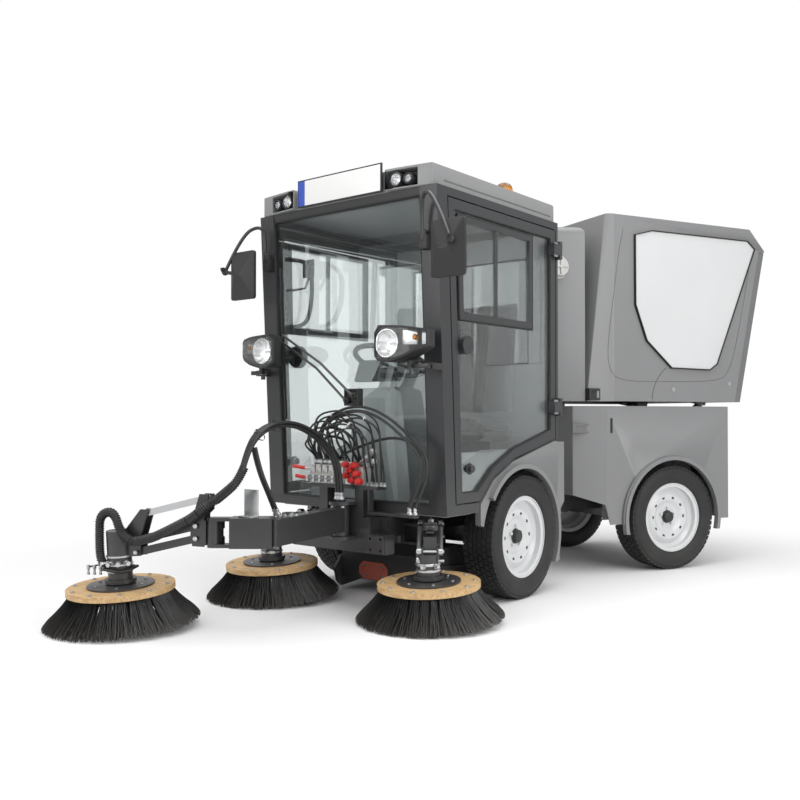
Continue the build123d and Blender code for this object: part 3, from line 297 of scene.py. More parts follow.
red_plastic = finish("red_plastic", (0.55, 0.02, 0.015), 0.35, 500, 0.04, coat=0.2, dust_amount=0.0)
skid_orange = finish("skid_orange", (0.42, 0.07, 0.03), 0.45, 300, 0.1, dust_amount=0.5, dust_top=0.2)
plate_white = finish("plate_white", (0.78, 0.78, 0.77), 0.3, 500, 0.02, coat=0.3, dust_amount=0.0)
plate_blue = finish("plate_blue", (0.02, 0.07, 0.42), 0.3, 500, 0.02, coat=0.3, dust_amount=0.0)
valve_grey = finish("valve_grey", (0.50, 0.50, 0.48), 0.42, 300, 0.08, metallic=0.5, dust_amount=0.0)
tyre_rubber = finish("tyre_rubber", (0.016, 0.016, 0.017), 0.6, 260, 0.16, dust_amount=0.12, dust_top=0.7,
                     specular=0.35)
print("made", len(bpy.data.materials), "finishes")

# %% [markdown]
# ## Glass
# Safety glass with a faint green tint. It keeps a plain transmission weight, so that it
# exports as glass and the seat shows behind it.

# %% Glass finishes


def clear(name, color, roughness=0.03, transmission=1.0, alpha=1.0, ior=1.45):
    material, tree, shader = new_material(name)
    preset(shader, "Base Color", (*color, 1))
    preset(shader, "IOR", ior)
    preset(shader, "Transmission Weight", transmission)
    preset(shader, "Alpha", alpha)
    smudge = add(tree, "ShaderNodeTexNoise", {"Scale": 6.0})
    place = add(tree, "ShaderNodeTexCoord")
    wire(place, "Object", smudge, "Vector")
    spread = add(tree, "ShaderNodeMapRange", {"To Min": roughness * 0.5, "To Max": roughness * 1.5,
        "Value": (smudge, "Fac")})
    wire(spread, "Result", shader, "Roughness")
    return material


cab_tint = clear("cab_tint", (0.74, 0.86, 0.85), 0.0, alpha=0.34, ior=1.3)
clear_lens = clear("clear_lens", (0.96, 0.97, 0.97), 0.01, alpha=0.6)
amber = clear("amber", (0.95, 0.38, 0.03), 0.08)

# %% [markdown]
# ## Plywood
# The brush discs are oiled plywood: a warm face with long grain, and thin dark glue lines
# that run round the edge. The grain is a stretched noise, and the plies are bands in height.

# %% Plywood finish
plywood, tree, shader = new_material("plywood")
place = add(tree, "ShaderNodeTexCoord")
stretch = add(tree, "ShaderNodeMapping", {"Scale": (6, 60, 40), "Vector": (place, "Object")})
fibre = add(tree, "ShaderNodeTexNoise", {"Scale": 2.0, "Detail": 6.0, "Vector": (stretch, 0)})
tones = add(tree, "ShaderNodeValToRGB")
tones.color_ramp.elements[0].position = 0.3
tones.color_ramp.elements[0].color = (0.42, 0.25, 0.10, 1)
tones.color_ramp.elements[1].position = 0.7
tones.color_ramp.elements[1].color = (0.66, 0.46, 0.24, 1)
wire(fibre, "Fac", tones, 0)
wire(tones, 0, shader, "Base Color")
preset(shader, "Roughness", 0.55)
bumps = add(tree, "ShaderNodeBump", {"Strength": 0.3, "Distance": 0.001, "Height": (fibre, "Fac")})
wire(bumps, "Normal", shader, "Normal")

# %% [markdown]
# ## Making pieces
# Every added piece is a plain mesh whose object stays at the origin, and it rides on the body
# that carries it. Small shape helpers return loose shapes in millimetres on the machine, and one
# function joins them, turns them into place and smooths them.

# %% Shape helpers


def slab(x0, x1, y0, y1, z0, z1, bevel=0.0):
    """A block with optional chamfered edges."""
    bm = bmesh.new()
    bmesh.ops.create_cube(bm, size=1.0)
    for v in bm.verts:
        v.co = Vector((x0 if v.co.x < 0 else x1, y0 if v.co.y < 0 else y1, z0 if v.co.z < 0 else z1))
    if bevel:
        bmesh.ops.bevel(bm, geom=bm.edges[:], offset=bevel, segments=2, profile=0.7, affect="EDGES")
    return bm


def side_slab(s, x0, x1, *rest):
    """A block on the left side, or its twin on the right."""
    return slab(*sorted((s * x0, s * x1)), *rest)


def turned(profile, base=(0, 0, 0), axis=UP, steps=32, open_ends=False):
    """A shape turned about an axis; the profile is (radius, height) from the base upwards."""
    bm = bmesh.new()
    frame_turn = Vector(axis).to_track_quat("Z", "Y")
    rows = []
    for radius, height in profile:
        if radius < 1e-6:
            rows.append([bm.verts.new(Vector(base) + frame_turn @ Vector((0, 0, height)))])
            continue
        row = []
        for k in range(steps):
            angle = 2 * math.pi * k / steps
            spot = Vector((radius * math.cos(angle), radius * math.sin(angle), height))
            row.append(bm.verts.new(Vector(base) + frame_turn @ spot))
        rows.append(row)
    for low, high in zip(rows, rows[1:]):
        for k in range(steps):
            ring = [low[k % len(low)], low[(k + 1) % len(low)], high[(k + 1) % len(high)],
                high[k % len(high)]]
            corners = list(dict.fromkeys(ring))
            if len(corners) > 2:
                bm.faces.new(corners)
    for row in (rows[0], rows[-1]):
        if len(row) > 1 and not open_ends:
            bm.faces.new(row)
    bmesh.ops.remove_doubles(bm, verts=bm.verts, dist=1e-4)
    bmesh.ops.recalc_face_normals(bm, faces=bm.faces)
    return bm


def plate(outline, normal, low, high, bevel=0.0):
    """A flat outline pushed along x, y or z from low to high; the outline gives the other two axes."""
    axis = "xyz".index(normal)
    others = [k for k in range(3) if k != axis]
    bm = bmesh.new()
    rows = []
    for level in (low, high):
        row = []
        for a, b in outline:
            spot = [0.0, 0.0, 0.0]
            spot[axis], spot[others[0]], spot[others[1]] = level, a, b
            row.append(bm.verts.new(spot))
        rows.append(row)
    bm.faces.new(rows[0])
    bm.faces.new(rows[1])
    count = len(outline)
    for k in range(count):
        bm.faces.new([rows[0][k], rows[0][(k + 1) % count], rows[1][(k + 1) % count], rows[1][k]])
    bmesh.ops.recalc_face_normals(bm, faces=bm.faces)
    if bevel:
        rim = [e for e in bm.edges if len(e.link_faces) == 2 and e.calc_face_angle() > 0.6]
        bmesh.ops.bevel(bm, geom=rim, offset=bevel, segments=2, profile=0.7, affect="EDGES")
    return bm


def pipe(points, radius, steps=12, closed=False, flat=1.0, width_axis=UP):
    """A tube along points, with mitred corners; flat squeezes it across its width axis."""
    spots = [Vector(p) for p in points]
    count = len(spots)
    bm = bmesh.new()
    rows = []
    side = None
    for k, spot in enumerate(spots):
        before = spots[k - 1] if (closed or k) else None
        after = spots[(k + 1) % count] if (closed or k < count - 1) else None
        incoming = (spot - before).normalized() if before is not None else None
        outgoing = (after - spot).normalized() if after is not None else None
        along = (incoming or outgoing) + (outgoing or incoming)
        along = along.normalized() if along.length > 1e-6 else incoming
        bend = 1.0
        if incoming is not None and outgoing is not None:
            bend = min(1.6, 1 / max(0.45, incoming.dot(along)))
        if side is None:
            side = along.cross(Vector(width_axis))
            if side.length < 1e-3:
                side = along.cross(Vector((1, 0, 0)))
        side = (side - along * side.dot(along)).normalized()
        up = along.cross(side)
        row = []
        for j in range(steps):
            angle = 2 * math.pi * j / steps
            row.append(bm.verts.new(spot + side * radius * bend * math.cos(angle)
                                    + up * radius * flat * math.sin(angle)))
        rows.append(row)
    pairs = list(zip(rows, rows[1:])) + ([(rows[-1], rows[0])] if closed else [])
    for low, high in pairs:
        for j in range(steps):
            bm.faces.new([low[j], low[(j + 1) % steps], high[(j + 1) % steps], high[j]])
    if not closed:
        bm.faces.new(rows[0])
        bm.faces.new(rows[-1])
    bmesh.ops.recalc_face_normals(bm, faces=bm.faces)
    return bm


# %% [markdown]
# A finished piece takes its place in its mesh, so patterns in its material stay where they
# belong. Edges sharper than the given angle stay crisp, and the rest is shaded smooth.

# %% Finished pieces


def finished(name, body, material, shapes, where=None, crisp=35, millimetres=True):
    """Joins shapes into one mesh, places it on the machine and lets it ride on a body."""
    mesh = bpy.data.meshes.new(name)
    whole = bmesh.new()
    for shape in shapes:
        part = bpy.data.meshes.new("part")
        shape.to_mesh(part)
        shape.free()
        whole.from_mesh(part)
        bpy.data.meshes.remove(part)
    whole.to_mesh(mesh)
    whole.free()
    place = (where or to_front) @ Matrix.Scale(0.001 if millimetres else 1.0, 4)
    mesh.transform(place)
    return seated(name, body, material, mesh, crisp)


def seated(name, body, material, mesh, crisp=35):
    """A mesh that already stands in place becomes a piece on a body, or a loose piece without one."""
    mesh.name = name
    for face in mesh.polygons:
        face.use_smooth = True
    mesh.set_sharp_from_angle(angle=math.radians(crisp))
    piece = placed(name, mesh)
    if material is not None:
        mesh.materials.clear()
        mesh.materials.append(material)
    if body is not None:
        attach(piece, body)
    return piece


# %% [markdown]
# ## Geometry Nodes for what repeats
# Screws, bristles, hose ribs and tread blocks repeat by rule. Each tree takes points or a path
# and named sizes. The result is read back as a plain mesh, so nothing live stays on the piece.

# %% Tree helpers


def stored(tree, name, kind):
    """Reads an attribute that was kept on the points."""
    return add(tree, "GeometryNodeInputNamedAttribute", {"Name": name}, data_type=kind)


def new_tree(name, inputs):
    """A geometry tree with named inputs; returns it, its ends and the identifiers of its inputs."""
    tree = bpy.data.node_groups.new(name, "GeometryNodeTree")
    tree.interface.new_socket(name="Geometry", in_out="INPUT", socket_type="NodeSocketGeometry")
    keys = {}
    for label, kind, value in inputs:
        socket = tree.interface.new_socket(name=label, in_out="INPUT", socket_type="NodeSocket" + kind)
        if value is not None:
            socket.default_value = value
        keys[label] = socket.identifier
    socket = tree.interface.new_socket(name="Finish", in_out="INPUT", socket_type="NodeSocketMaterial")
    keys["Finish"] = socket.identifier
    tree.interface.new_socket(name="Geometry", in_out="OUTPUT", socket_type="NodeSocketGeometry")
    return tree, add(tree, "NodeGroupInput"), add(tree, "NodeGroupOutput"), keys


def end_tree(tree, start, end, source):
    """Every tree ends by making its copies real and giving them their finish."""
    real = add(tree, "GeometryNodeRealizeInstances")
    paint = add(tree, "GeometryNodeSetMaterial")
    join(tree, source, real.inputs[0])
    wire(real, 0, paint, "Geometry")
    wire(start, "Finish", paint, "Material")
    wire(paint, 0, end, 0)


def grown(name, body, material, source, recipe, values, place=None, crisp=35):
    """Runs a tree on a source mesh or curve and keeps the result as a plain mesh on a body."""
    tree, keys = recipe
    base = placed(name + "_source", source)
    modifier = base.modifiers.new("grow", "NODES")
    modifier.node_group = tree
    for label, value in values.items():
        modifier[keys[label]] = value
    modifier[keys["Finish"]] = material
    mesh = baked(base)
    base.modifiers.remove(modifier)
    bpy.data.objects.remove(base)
    if place is not None:
        mesh.transform(place)
    return seated(name, body, material, mesh, crisp)


def point_cloud(name, spots, facings, where, sizes=None, across=(1, 0, 0)):
    """A mesh of loose points in metres, with the way each faces, its width and its size as attributes."""
    mesh = bpy.data.meshes.new(name)
    mesh.from_pydata([where @ (Vector(p) * 0.001) for p in spots], [], [])
    turn = where.to_3x3()
    mesh.attributes.new("facing", "FLOAT_VECTOR", "POINT")
    mesh.attributes.new("across", "FLOAT_VECTOR", "POINT")
    mesh.attributes.new("size", "FLOAT", "POINT")
    for k, way in enumerate(facings):
        mesh.attributes["facing"].data[k].vector = turn @ Vector(way)
        mesh.attributes["across"].data[k].vector = turn @ Vector(across)
        mesh.attributes["size"].data[k].value = 1.0 if sizes is None else sizes[k]
    return mesh


# %% Screw tree
tree, start, end, keys = new_tree("screws", [
    ("Head Radius", "Float", 0.008), ("Head Height", "Float", 0.005),
    ("Washer Radius", "Float", 0.012), ("Sides", "Int", 6)])
head = add(tree, "GeometryNodeMeshCylinder", {"Vertices": (start, "Sides"), "Radius": (start, "Head Radius"),
    "Depth": (start, "Head Height")})
lift = add(tree, "GeometryNodeTransform")
half = maths(tree, "MULTIPLY_ADD", (start, "Head Height"), 0.5, 0.0012)
upward = add(tree, "ShaderNodeCombineXYZ", {"Z": (half, 0)})
wire(head, "Mesh", lift, "Geometry")
wire(upward, 0, lift, "Translation")
washer = add(tree, "GeometryNodeMeshCylinder", {"Vertices": 20, "Depth": 0.003,
    "Radius": (start, "Washer Radius")})
both = add(tree, "GeometryNodeJoinGeometry")
wire(lift, 0, both, 0)
wire(washer, "Mesh", both, 0)
facing = stored(tree, "facing", "FLOAT_VECTOR")
size = stored(tree, "size", "FLOAT")
aim = add(tree, "FunctionNodeAlignRotationToVector", {"Vector": (facing, "Attribute")}, axis="Z")
spread = add(tree, "GeometryNodeInstanceOnPoints",
    {"Points": (start, "Geometry"), "Instance": (both, 0), "Rotation": (aim, 0),
    "Scale": (size, "Attribute")})
end_tree(tree, start, end, spread.outputs[0])
screws = (tree, keys)


def screw_row(name, body, places, radius=7.0, height=5.0, washer=11.0, material=None, where=None, sides=6):
    """Screw heads at (x, y, z, facing) places in millimetres on the machine."""
    cloud = point_cloud(name, [p[:3] for p in places], [p[3] for p in places], where or to_front)
    return grown(name, body, material or zinc, cloud, screws,
                 {"Head Radius": radius / 1000, "Head Height": height / 1000,
                  "Washer Radius": washer / 1000, "Sides": sides})


# %% [markdown]
# ### Rims from the CAD pieces
# Seals and gaskets run round panes and panels. The rim of a flat CAD face gives the path, so
# the seal is always as large as its pane.

# %% Rim finder


def rims(node, facing, where, tolerance=0.97, least=0.2):
    """Closed outlines, in metres on the module, of the faces of a node that look one way."""
    bm = bmesh.new()
    bm.from_mesh(nodes[node].data)
    bmesh.ops.transform(bm, matrix=where.inverted() @ nodes[node].matrix_world, verts=bm.verts)
    bmesh.ops.remove_doubles(bm, verts=bm.verts, dist=1e-5)
    bm.normal_update()
    way = Vector(facing).normalized()
    chosen = {f for f in bm.faces if f.normal.dot(way) > tolerance}
    edges = {e for f in chosen for e in f.edges if sum(g in chosen for g in e.link_faces) == 1}
    loops = []
    while edges:
        edge = edges.pop()
        chain = [edge.verts[0], edge.verts[1]]
        while chain[-1] is not chain[0]:
            onward = next((e for e in chain[-1].link_edges if e in edges), None)
            if onward is None:
                break
            edges.discard(onward)
            chain.append(onward.other_vert(chain[-1]))
        points = [v.co.copy() for v in chain[:-1]]
        if len(points) > 2:
            few = points[:: max(1, len(points) // 24)]
            span = max((a - b).length for a in few for b in few)
            if span > least:
                loops.append(points)
    bm.free()
    return sorted(loops, key=lambda loop: -sum((a - b).length for a, b in zip(loop, loop[1:] + loop[:1])))


def thinned(loop, least=0.006):
    """The loop without points that stand closer together than the least run."""
    kept = [loop[0]]
    for spot in loop[1:]:
        if (spot - kept[-1]).length > least:
            kept.append(spot)
    if (kept[-1] - kept[0]).length < least and len(kept) > 3:
        kept.pop()
    return kept


print("helpers ready")

# %% [markdown]
# ## Dress the CAD pieces
# A CAD piece whose shape is right stays as it is, and only takes a finish.

# %% Assign finishes
finishes = {
    "front_frame": black_steel, "rear_frame": black_steel, "cab_frame": frame_grey, "cab_shell": cabin_grey,
    "cab_glass": cab_tint, "roof": roof_grey, "number_plate": plate_white, "beacon": amber,
    "fenders_front": body_grey, "door_left": frame_grey, "door_right": frame_grey,
    "door_left_glass": cab_tint, "door_right_glass": cab_tint, "console": cabin_grey,
    "steering_wheel": black_plastic, "seat_base": black_plastic, "headlamps": black_plastic,
    "headlamp_lenses": clear_lens, "mirrors": black_plastic, "wiper": black_plastic,
    "front_carrier": black_steel, "hydraulic_block": valve_grey, "suction_mouth": black_steel,
    "side_arm_left": black_steel, "side_arm_right": black_steel, "boom": black_steel,
    "elbow": black_steel, "link_upper": black_steel, "link_lower": black_steel, "strut": zinc,
    "brush_head": black_steel, "rear_body": body_grey, "engine": cast_block, "water_tank": body_grey,
    "hopper": body_grey, "hopper_panels": panel_silver, "hopper_door": lower_grey,
    "lift_barrel": black_steel, "lift_rod": zinc, "seat_cushion": black_plastic, "seat_back": black_plastic,
}
for name in nodes:
    if name.startswith("wheel_"):
        finishes[name] = wheel_white
    elif name.startswith("tyre_"):
        finishes[name] = tyre_rubber
    elif name.startswith("bristles_"):
        finishes[name] = black_plastic
    elif name.startswith("brush_") and name != "brush_head":
        finishes[name] = plywood
for name, material in finishes.items():
    if name in nodes:
        nodes[name].data.materials.clear()
        nodes[name].data.materials.append(material)
print("dressed", len(finishes), "nodes")

# %% [markdown]
# ## Sweeping brushes
# A brush is a round plywood disc full of stiff black strands that splay outwards and rest on
# the ground. Thousands of strands follow one rule, so a tree scatters their roots on rings
# under the disc and bends each one out and down to the floor.

# %% Bristle tree
tree, start, end, keys = new_tree("bristles", [
    ("Length", "Float", 0.128), ("Root Radius", "Float", 0.205),
    ("Tip Radius", "Float", 0.316), ("Thickness", "Float", 0.0014),
    ("Count", "Int", 2600), ("Seed", "Int", 3)])
strand = add(tree, "GeometryNodeCurvePrimitiveLine", {"End": (0, 0, -1)})
steps = add(tree, "GeometryNodeResampleCurve", {"Count": 6, "Curve": (strand, 0)})
cloud = add(tree, "GeometryNodePoints", {"Count": (start, "Count")})
turn = add(tree, "FunctionNodeRandomValue", {3: 2 * math.pi, "Seed": (start, "Seed")}, data_type="FLOAT")
ring = add(tree, "FunctionNodeRandomValue", {4: 0, 5: 3, "Seed": (start, "Seed")}, data_type="INT")
inset = maths(tree, "MULTIPLY", (ring, 2), 0.016)
root_r = maths(tree, "SUBTRACT", (start, "Root Radius"), (inset, 0))
keep_turn = add(tree, "GeometryNodeStoreNamedAttribute",
    {"Name": "turn", "Geometry": (cloud, 0), "Value": (turn, 1)}, data_type="FLOAT", domain="POINT")
keep_root = add(tree, "GeometryNodeStoreNamedAttribute",
    {"Name": "root", "Geometry": (keep_turn, 0), "Value": (root_r, 0)}, data_type="FLOAT", domain="POINT")
sway = add(tree, "FunctionNodeRandomValue", {0: (-1, -1, -1), 1: (1, 1, 1)}, data_type="FLOAT_VECTOR")
other_seed = maths(tree, "ADD", (start, "Seed"), 11)
wire(other_seed, 0, sway, "Seed")
keep_sway = add(tree, "GeometryNodeStoreNamedAttribute",
    {"Name": "sway", "Geometry": (keep_root, 0), "Value": (sway, 0)}, data_type="FLOAT_VECTOR",
    domain="POINT")
copies = add(tree, "GeometryNodeInstanceOnPoints", {"Points": (keep_sway, 0), "Instance": (steps, 0)})
real = add(tree, "GeometryNodeRealizeInstances", {0: (copies, 0)})
along = add(tree, "GeometryNodeSplineParameter")
turn_back = stored(tree, "turn", "FLOAT")
root_back = stored(tree, "root", "FLOAT")
sway_back = stored(tree, "sway", "FLOAT_VECTOR")
sway_parts = add(tree, "ShaderNodeSeparateXYZ", {0: (sway_back, 0)})
bow = maths(tree, "POWER", (along, "Factor"), 1.35)
splay = maths(tree, "SUBTRACT", (start, "Tip Radius"), (start, "Root Radius"))
loose = maths(tree, "MULTIPLY_ADD", (sway_parts, 0), 0.012, (splay, 0))
outward = maths(tree, "MULTIPLY_ADD", (bow, 0), (loose, 0), (root_back, 0))
reach = maths(tree, "MINIMUM", (outward, 0), (start, "Tip Radius"))
swing = maths(tree, "MULTIPLY", (sway_parts, 1), 0.07)
swing_tip = maths(tree, "MULTIPLY_ADD", (swing, 0), (bow, 0), (turn_back, 0))
cos_turn = maths(tree, "COSINE", (swing_tip, 0))
sin_turn = maths(tree, "SINE", (swing_tip, 0))
spot_x = maths(tree, "MULTIPLY", (cos_turn, 0), (reach, 0))
spot_y = maths(tree, "MULTIPLY", (sin_turn, 0), (reach, 0))
short = maths(tree, "MULTIPLY_ADD", (sway_parts, 2), 0.02, 0.975)
drop = maths(tree, "MULTIPLY", (along, "Factor"), (short, 0))
height = maths(tree, "SUBTRACT", 1.0, (drop, 0))
spot_z = maths(tree, "MULTIPLY", (height, 0), (start, "Length"))
spot = add(tree, "ShaderNodeCombineXYZ", {0: (spot_x, 0), 1: (spot_y, 0), 2: (spot_z, 0)})
bent = add(tree, "GeometryNodeSetPosition", {"Geometry": (real, 0), "Position": (spot, 0)})
round_wire = add(tree, "GeometryNodeCurvePrimitiveCircle", {"Resolution": 3, "Radius": (start, "Thickness")})
solid = add(tree, "GeometryNodeCurveToMesh", {"Curve": (bent, 0), "Profile Curve": (round_wire, 0)})
end_tree(tree, start, end, solid.outputs[0])
bristle_recipe = (tree, keys)

# %% [markdown]
# Each brush leans a few degrees forward, so that only its leading edge touches the ground.
# The strands are made in the brush's own frame and then placed on it.

# %% Brushes
BRUSH_TILT = math.radians(3.5)
BRUSH_RADIUS = 320
BRISTLE_LENGTH = 128
BOARD_RADIUS = 220
BOARD_WALL = 22
SIDE_HINGE = (360.0, -470.0)
SIDE_REACH = 260.0
FRONT_BRUSH = (-440.0, -1543.0)
brush_lift = BRUSH_RADIUS * math.sin(BRUSH_TILT) + 2


def side_brush(s, swing):
    angle = math.radians(swing)
    return (s * (SIDE_HINGE[0] + SIDE_REACH * math.sin(angle)), SIDE_HINGE[1] - SIDE_REACH * math.cos(angle))


brush_centres = {
    "left": (*side_brush(1, 36), "left_brush"),
    "right": (*side_brush(-1, 9), "right_brush"),
    "front": (*FRONT_BRUSH, "third_brush"),
}


def brush_place(centre):
    """From the brush's own frame in millimetres to the machine's."""
    return Matrix.Translation((centre[0], centre[1], brush_lift)) @ Matrix.Rotation(BRUSH_TILT, 4, "X")


def moved(bm, matrix):
    bmesh.ops.transform(bm, matrix=matrix, verts=bm.verts)
    return bm


for seed, (side, (cx, cy, body)) in enumerate(brush_centres.items()):
    place = brush_place((cx, cy))
    metres = to_front @ Matrix.Scale(0.001, 4) @ place @ Matrix.Scale(1000, 4)
    empty = bpy.data.meshes.new("roots")
    empty.from_pydata([(0, 0, 0)], [], [])
    strands = grown(f"strands_{side}", body, bristle_black, empty, bristle_recipe,
                    {"Length": (BRISTLE_LENGTH + 4) / 1000, "Root Radius": (BOARD_RADIUS - 14) / 1000,
                     "Tip Radius": (BRUSH_RADIUS - 3) / 1000, "Thickness": 0.0016,
                     "Count": 2400, "Seed": 5 + seed}, place=metres)
    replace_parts(strands, f"bristles_{side}")
    nuts = []
    for k in range(6):
        a = math.pi * k / 3 + 0.3
        spot = place @ Vector((108 * math.cos(a), 108 * math.sin(a), BRISTLE_LENGTH + BOARD_WALL + 6.3))
        nuts.append((*spot, tuple((place.to_3x3() @ Vector(UP)))))
    for k in range(10):
        a = math.pi * k / 5
        spot = place @ Vector((196 * math.cos(a), 196 * math.sin(a), BRISTLE_LENGTH + BOARD_WALL + 0.3))
        nuts.append((*spot, tuple((place.to_3x3() @ Vector(UP)))))
    screw_row(f"brush_nuts_{side}", body, nuts, 6.5, 5.0, 10.5)
print("brushes dressed")

# %% [markdown]
# ## Tyres
# A road tyre: rounded side walls with a bead ring, a tread band with four grooves round it, and
# blocks between the grooves. The carcass is turned from one profile. The blocks repeat, so a
# tree sets a row of them round the wheel.

# %% Tread tree
tree, start, end, keys = new_tree("tread", [
    ("Block Length", "Float", 0.030), ("Block Height", "Float", 0.010)])
block = add(tree, "GeometryNodeMeshCube")
sizes_in = add(tree, "ShaderNodeCombineXYZ")
width = stored(tree, "size", "FLOAT")
preset(sizes_in, "X", 1.0)
wire(start, "Block Length", sizes_in, "Y")
wire(start, "Block Height", sizes_in, "Z")
wire(sizes_in, 0, block, "Size")
facing = stored(tree, "facing", "FLOAT_VECTOR")
lean = add(tree, "FunctionNodeAlignRotationToVector", {"Vector": (facing, "Attribute")}, axis="Z")
across = stored(tree, "across", "FLOAT_VECTOR")
aim = add(tree, "FunctionNodeAlignRotationToVector",
    {"Rotation": (lean, 0), "Vector": (across, "Attribute")}, axis="X", pivot_axis="Z")
stretch = add(tree, "ShaderNodeCombineXYZ", {"X": (width, "Attribute"), "Y": 1.0, "Z": 1.0})
copies = add(tree, "GeometryNodeInstanceOnPoints",
    {"Points": (start, "Geometry"), "Instance": (block, "Mesh"), "Rotation": (aim, 0),
    "Scale": (stretch, 0)})
end_tree(tree, start, end, copies.outputs[0])
tread_recipe = (tree, keys)

# %% Tyre makers
TYRE_WIDTH = 184
RIM_WIDTH = 150
FLANGE_RADIUS = 195.5
tyre_outer = 295.0
carcass = [
    (FLANGE_RADIUS + 0.6, -66), (FLANGE_RADIUS + 3, -77), (206, -84), (222, -90), (240, -92), (262, -90),
    (276, -84), (285, -75), (288, -66), (288.5, -30), (288.5, 0),
]
carcass = carcass + [(r, -h) for r, h in reversed(carcass[:-1])]
carcass.append((FLANGE_RADIUS - 6, 60))
carcass.append((FLANGE_RADIUS - 6, -60))
carcass.append(carcass[0])
tread_rows = [(-66, 26, 0.0), (-37, 22, 0.5), (-12.5, 19, 0.0), (12.5, 19, 0.5), (37, 22, 0.0),
    (66, 26, 0.5)]
BLOCKS_ROUND = 60


def tyre(name, body, side, axle_y, where):
    """A tyre in its place: carcass, tread blocks and two thin rings on the side walls."""
    middle = side * (RIM_PLANE * 1000 - RIM_WIDTH / 2)
    centre = Vector((middle, axle_y, tyre_outer))
    walls = turned([(r, h + TYRE_WIDTH) for r, h in carcass], centre - Vector((TYRE_WIDTH, 0, 0)), (1, 0, 0),
        72, open_ends=True)
    rings = []
    for face in (-1, 1):
        for radius in (231, 252):
            base = centre + Vector((face * 90.6, 0, 0))
            rings.append(turned([(radius - 1.6, 0), (radius - 0.8, 1.2), (radius + 0.8, 1.2),
                (radius + 1.6, 0)], base, (face, 0, 0), 72, open_ends=True))
    carc = finished(f"carcass_{name}", body, tyre_rubber, [walls] + rings, where, crisp=50)
    spots, facings, sizes = [], [], []
    for offset, wide, phase in tread_rows:
        for k in range(BLOCKS_ROUND):
            a = 2 * math.pi * (k + phase) / BLOCKS_ROUND
            out = Vector((0, math.cos(a), math.sin(a)))
            edge = 2.0 if abs(offset) > 60 else 0.0
            spots.append(centre + Vector((offset, 0, 0)) + out * (tyre_outer - 5.4 - edge))
            facings.append(out)
            sizes.append(wide / 1000)
    cloud = point_cloud("tread", spots, facings, where, sizes)
    blocks = grown(f"tread_{name}", body, tyre_rubber, cloud, tread_recipe,
                   {"Block Length": 0.0255, "Block Height": 0.0100}, crisp=30)
    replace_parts(carc, f"tyre_{name}")


# name, body, side of the machine, y of the axle, place
wheels = (
    ("front_left", "front_left_wheel", 1, 0, to_front), ("front_right", "front_right_wheel", -1, 0,
     to_front),
    ("rear_left", "rear_left_wheel", 1, WHEELBASE * 1000, to_rear),
    ("rear_right", "rear_right_wheel", -1, WHEELBASE * 1000, to_rear),
)
for name, body, side, axle_y, where in wheels:
    tyre(name, body, side, axle_y, where)
print("tyres done")

# %% [markdown]
# ## Hoses
# The thin hydraulic hoses are smooth rubber lines with crimped steel ends. The thick sleeve
# over them is convoluted: a wall that swells and narrows every few millimetres. All follow a
# smooth spline, whose points a tree samples; a wave in the radius makes the ribs.

# %% Hose tree
tree, start, end, keys = new_tree("hose", [
    ("Radius", "Float", 0.0065), ("Rib Depth", "Float", 0.0),
    ("Rib Pitch", "Float", 0.009), ("Step", "Float", 0.006), ("Sides", "Int", 12)])
samples = add(tree, "GeometryNodeResampleCurve", {"Curve": (start, "Geometry"), "Length": (start, "Step")},
    mode="LENGTH")
along = add(tree, "GeometryNodeSplineParameter")
phase = maths(tree, "DIVIDE", (along, "Length"), (start, "Rib Pitch"))
wave_in = maths(tree, "MULTIPLY", (phase, 0), 2 * math.pi)
wave = maths(tree, "COSINE", (wave_in, 0))
swell = maths(tree, "MULTIPLY_ADD", (wave, 0), (start, "Rib Depth"), (start, "Radius"))
sized = add(tree, "GeometryNodeSetCurveRadius", {"Curve": (samples, 0), "Radius": (swell, 0)})
section = add(tree, "GeometryNodeCurvePrimitiveCircle", {"Radius": 1.0, "Resolution": (start, "Sides")})
solid = add(tree, "GeometryNodeCurveToMesh", {"Fill Caps": True, "Curve": (sized, 0),
    "Profile Curve": (section, 0)})
if "Scale" in solid.inputs:
    own_radius = add(tree, "GeometryNodeInputRadius")
    wire(own_radius, 0, solid, "Scale")
end_tree(tree, start, end, solid.outputs[0])
hose_recipe = (tree, keys)


def spline(name, routes, where):
    """Smooth curves through the given routes of control points, in metres on the machine."""
    data = bpy.data.curves.new(name, "CURVE")
    data.dimensions = "3D"
    data.resolution_u = 10
    for route in routes:
        line = data.splines.new("NURBS")
        line.points.add(len(route) - 1)
        for k, spot in enumerate(route):
            line.points[k].co = (*(where @ (Vector(spot) * 0.001)), 1.0)
        line.order_u = 3
        line.use_endpoint_u = True
    return data


def hoses(name, body, routes, radius, material, where=None, rib=0.0, pitch=9.0, step=6.0, sides=12):
    return grown(name, body, material, spline(name, routes, where or to_front), hose_recipe,
                 {"Radius": radius / 1000, "Rib Depth": rib / 1000, "Rib Pitch": pitch / 1000,
                  "Step": step / 1000, "Sides": sides}, crisp=60)


def ferrule(end, before, radius=8.6, length=30.0):
    """A crimped steel end on a hose, with a hexagon nut at its foot."""
    way = (Vector(before) - Vector(end)).normalized()
    sleeve = turned([(radius, 0), (radius, length * 0.35), (radius - 1.4, length * 0.42),
                     (radius - 1.4, length * 0.48), (radius, length * 0.55), (radius, length - 2),
                     (radius - 1.6, length)], Vector(end) + way * 1.0, way, 16)
    nut = turned([(radius + 3, 0), (radius + 3, 9)], Vector(end) + way * 0.4, way, 6)
    return [sleeve, nut]


# %% [markdown]
# The routes are points in millimetres on the machine. Five hoses rise on the boom's pin, loop
# forward and go down into the sleeve; two more stand on the boom itself.

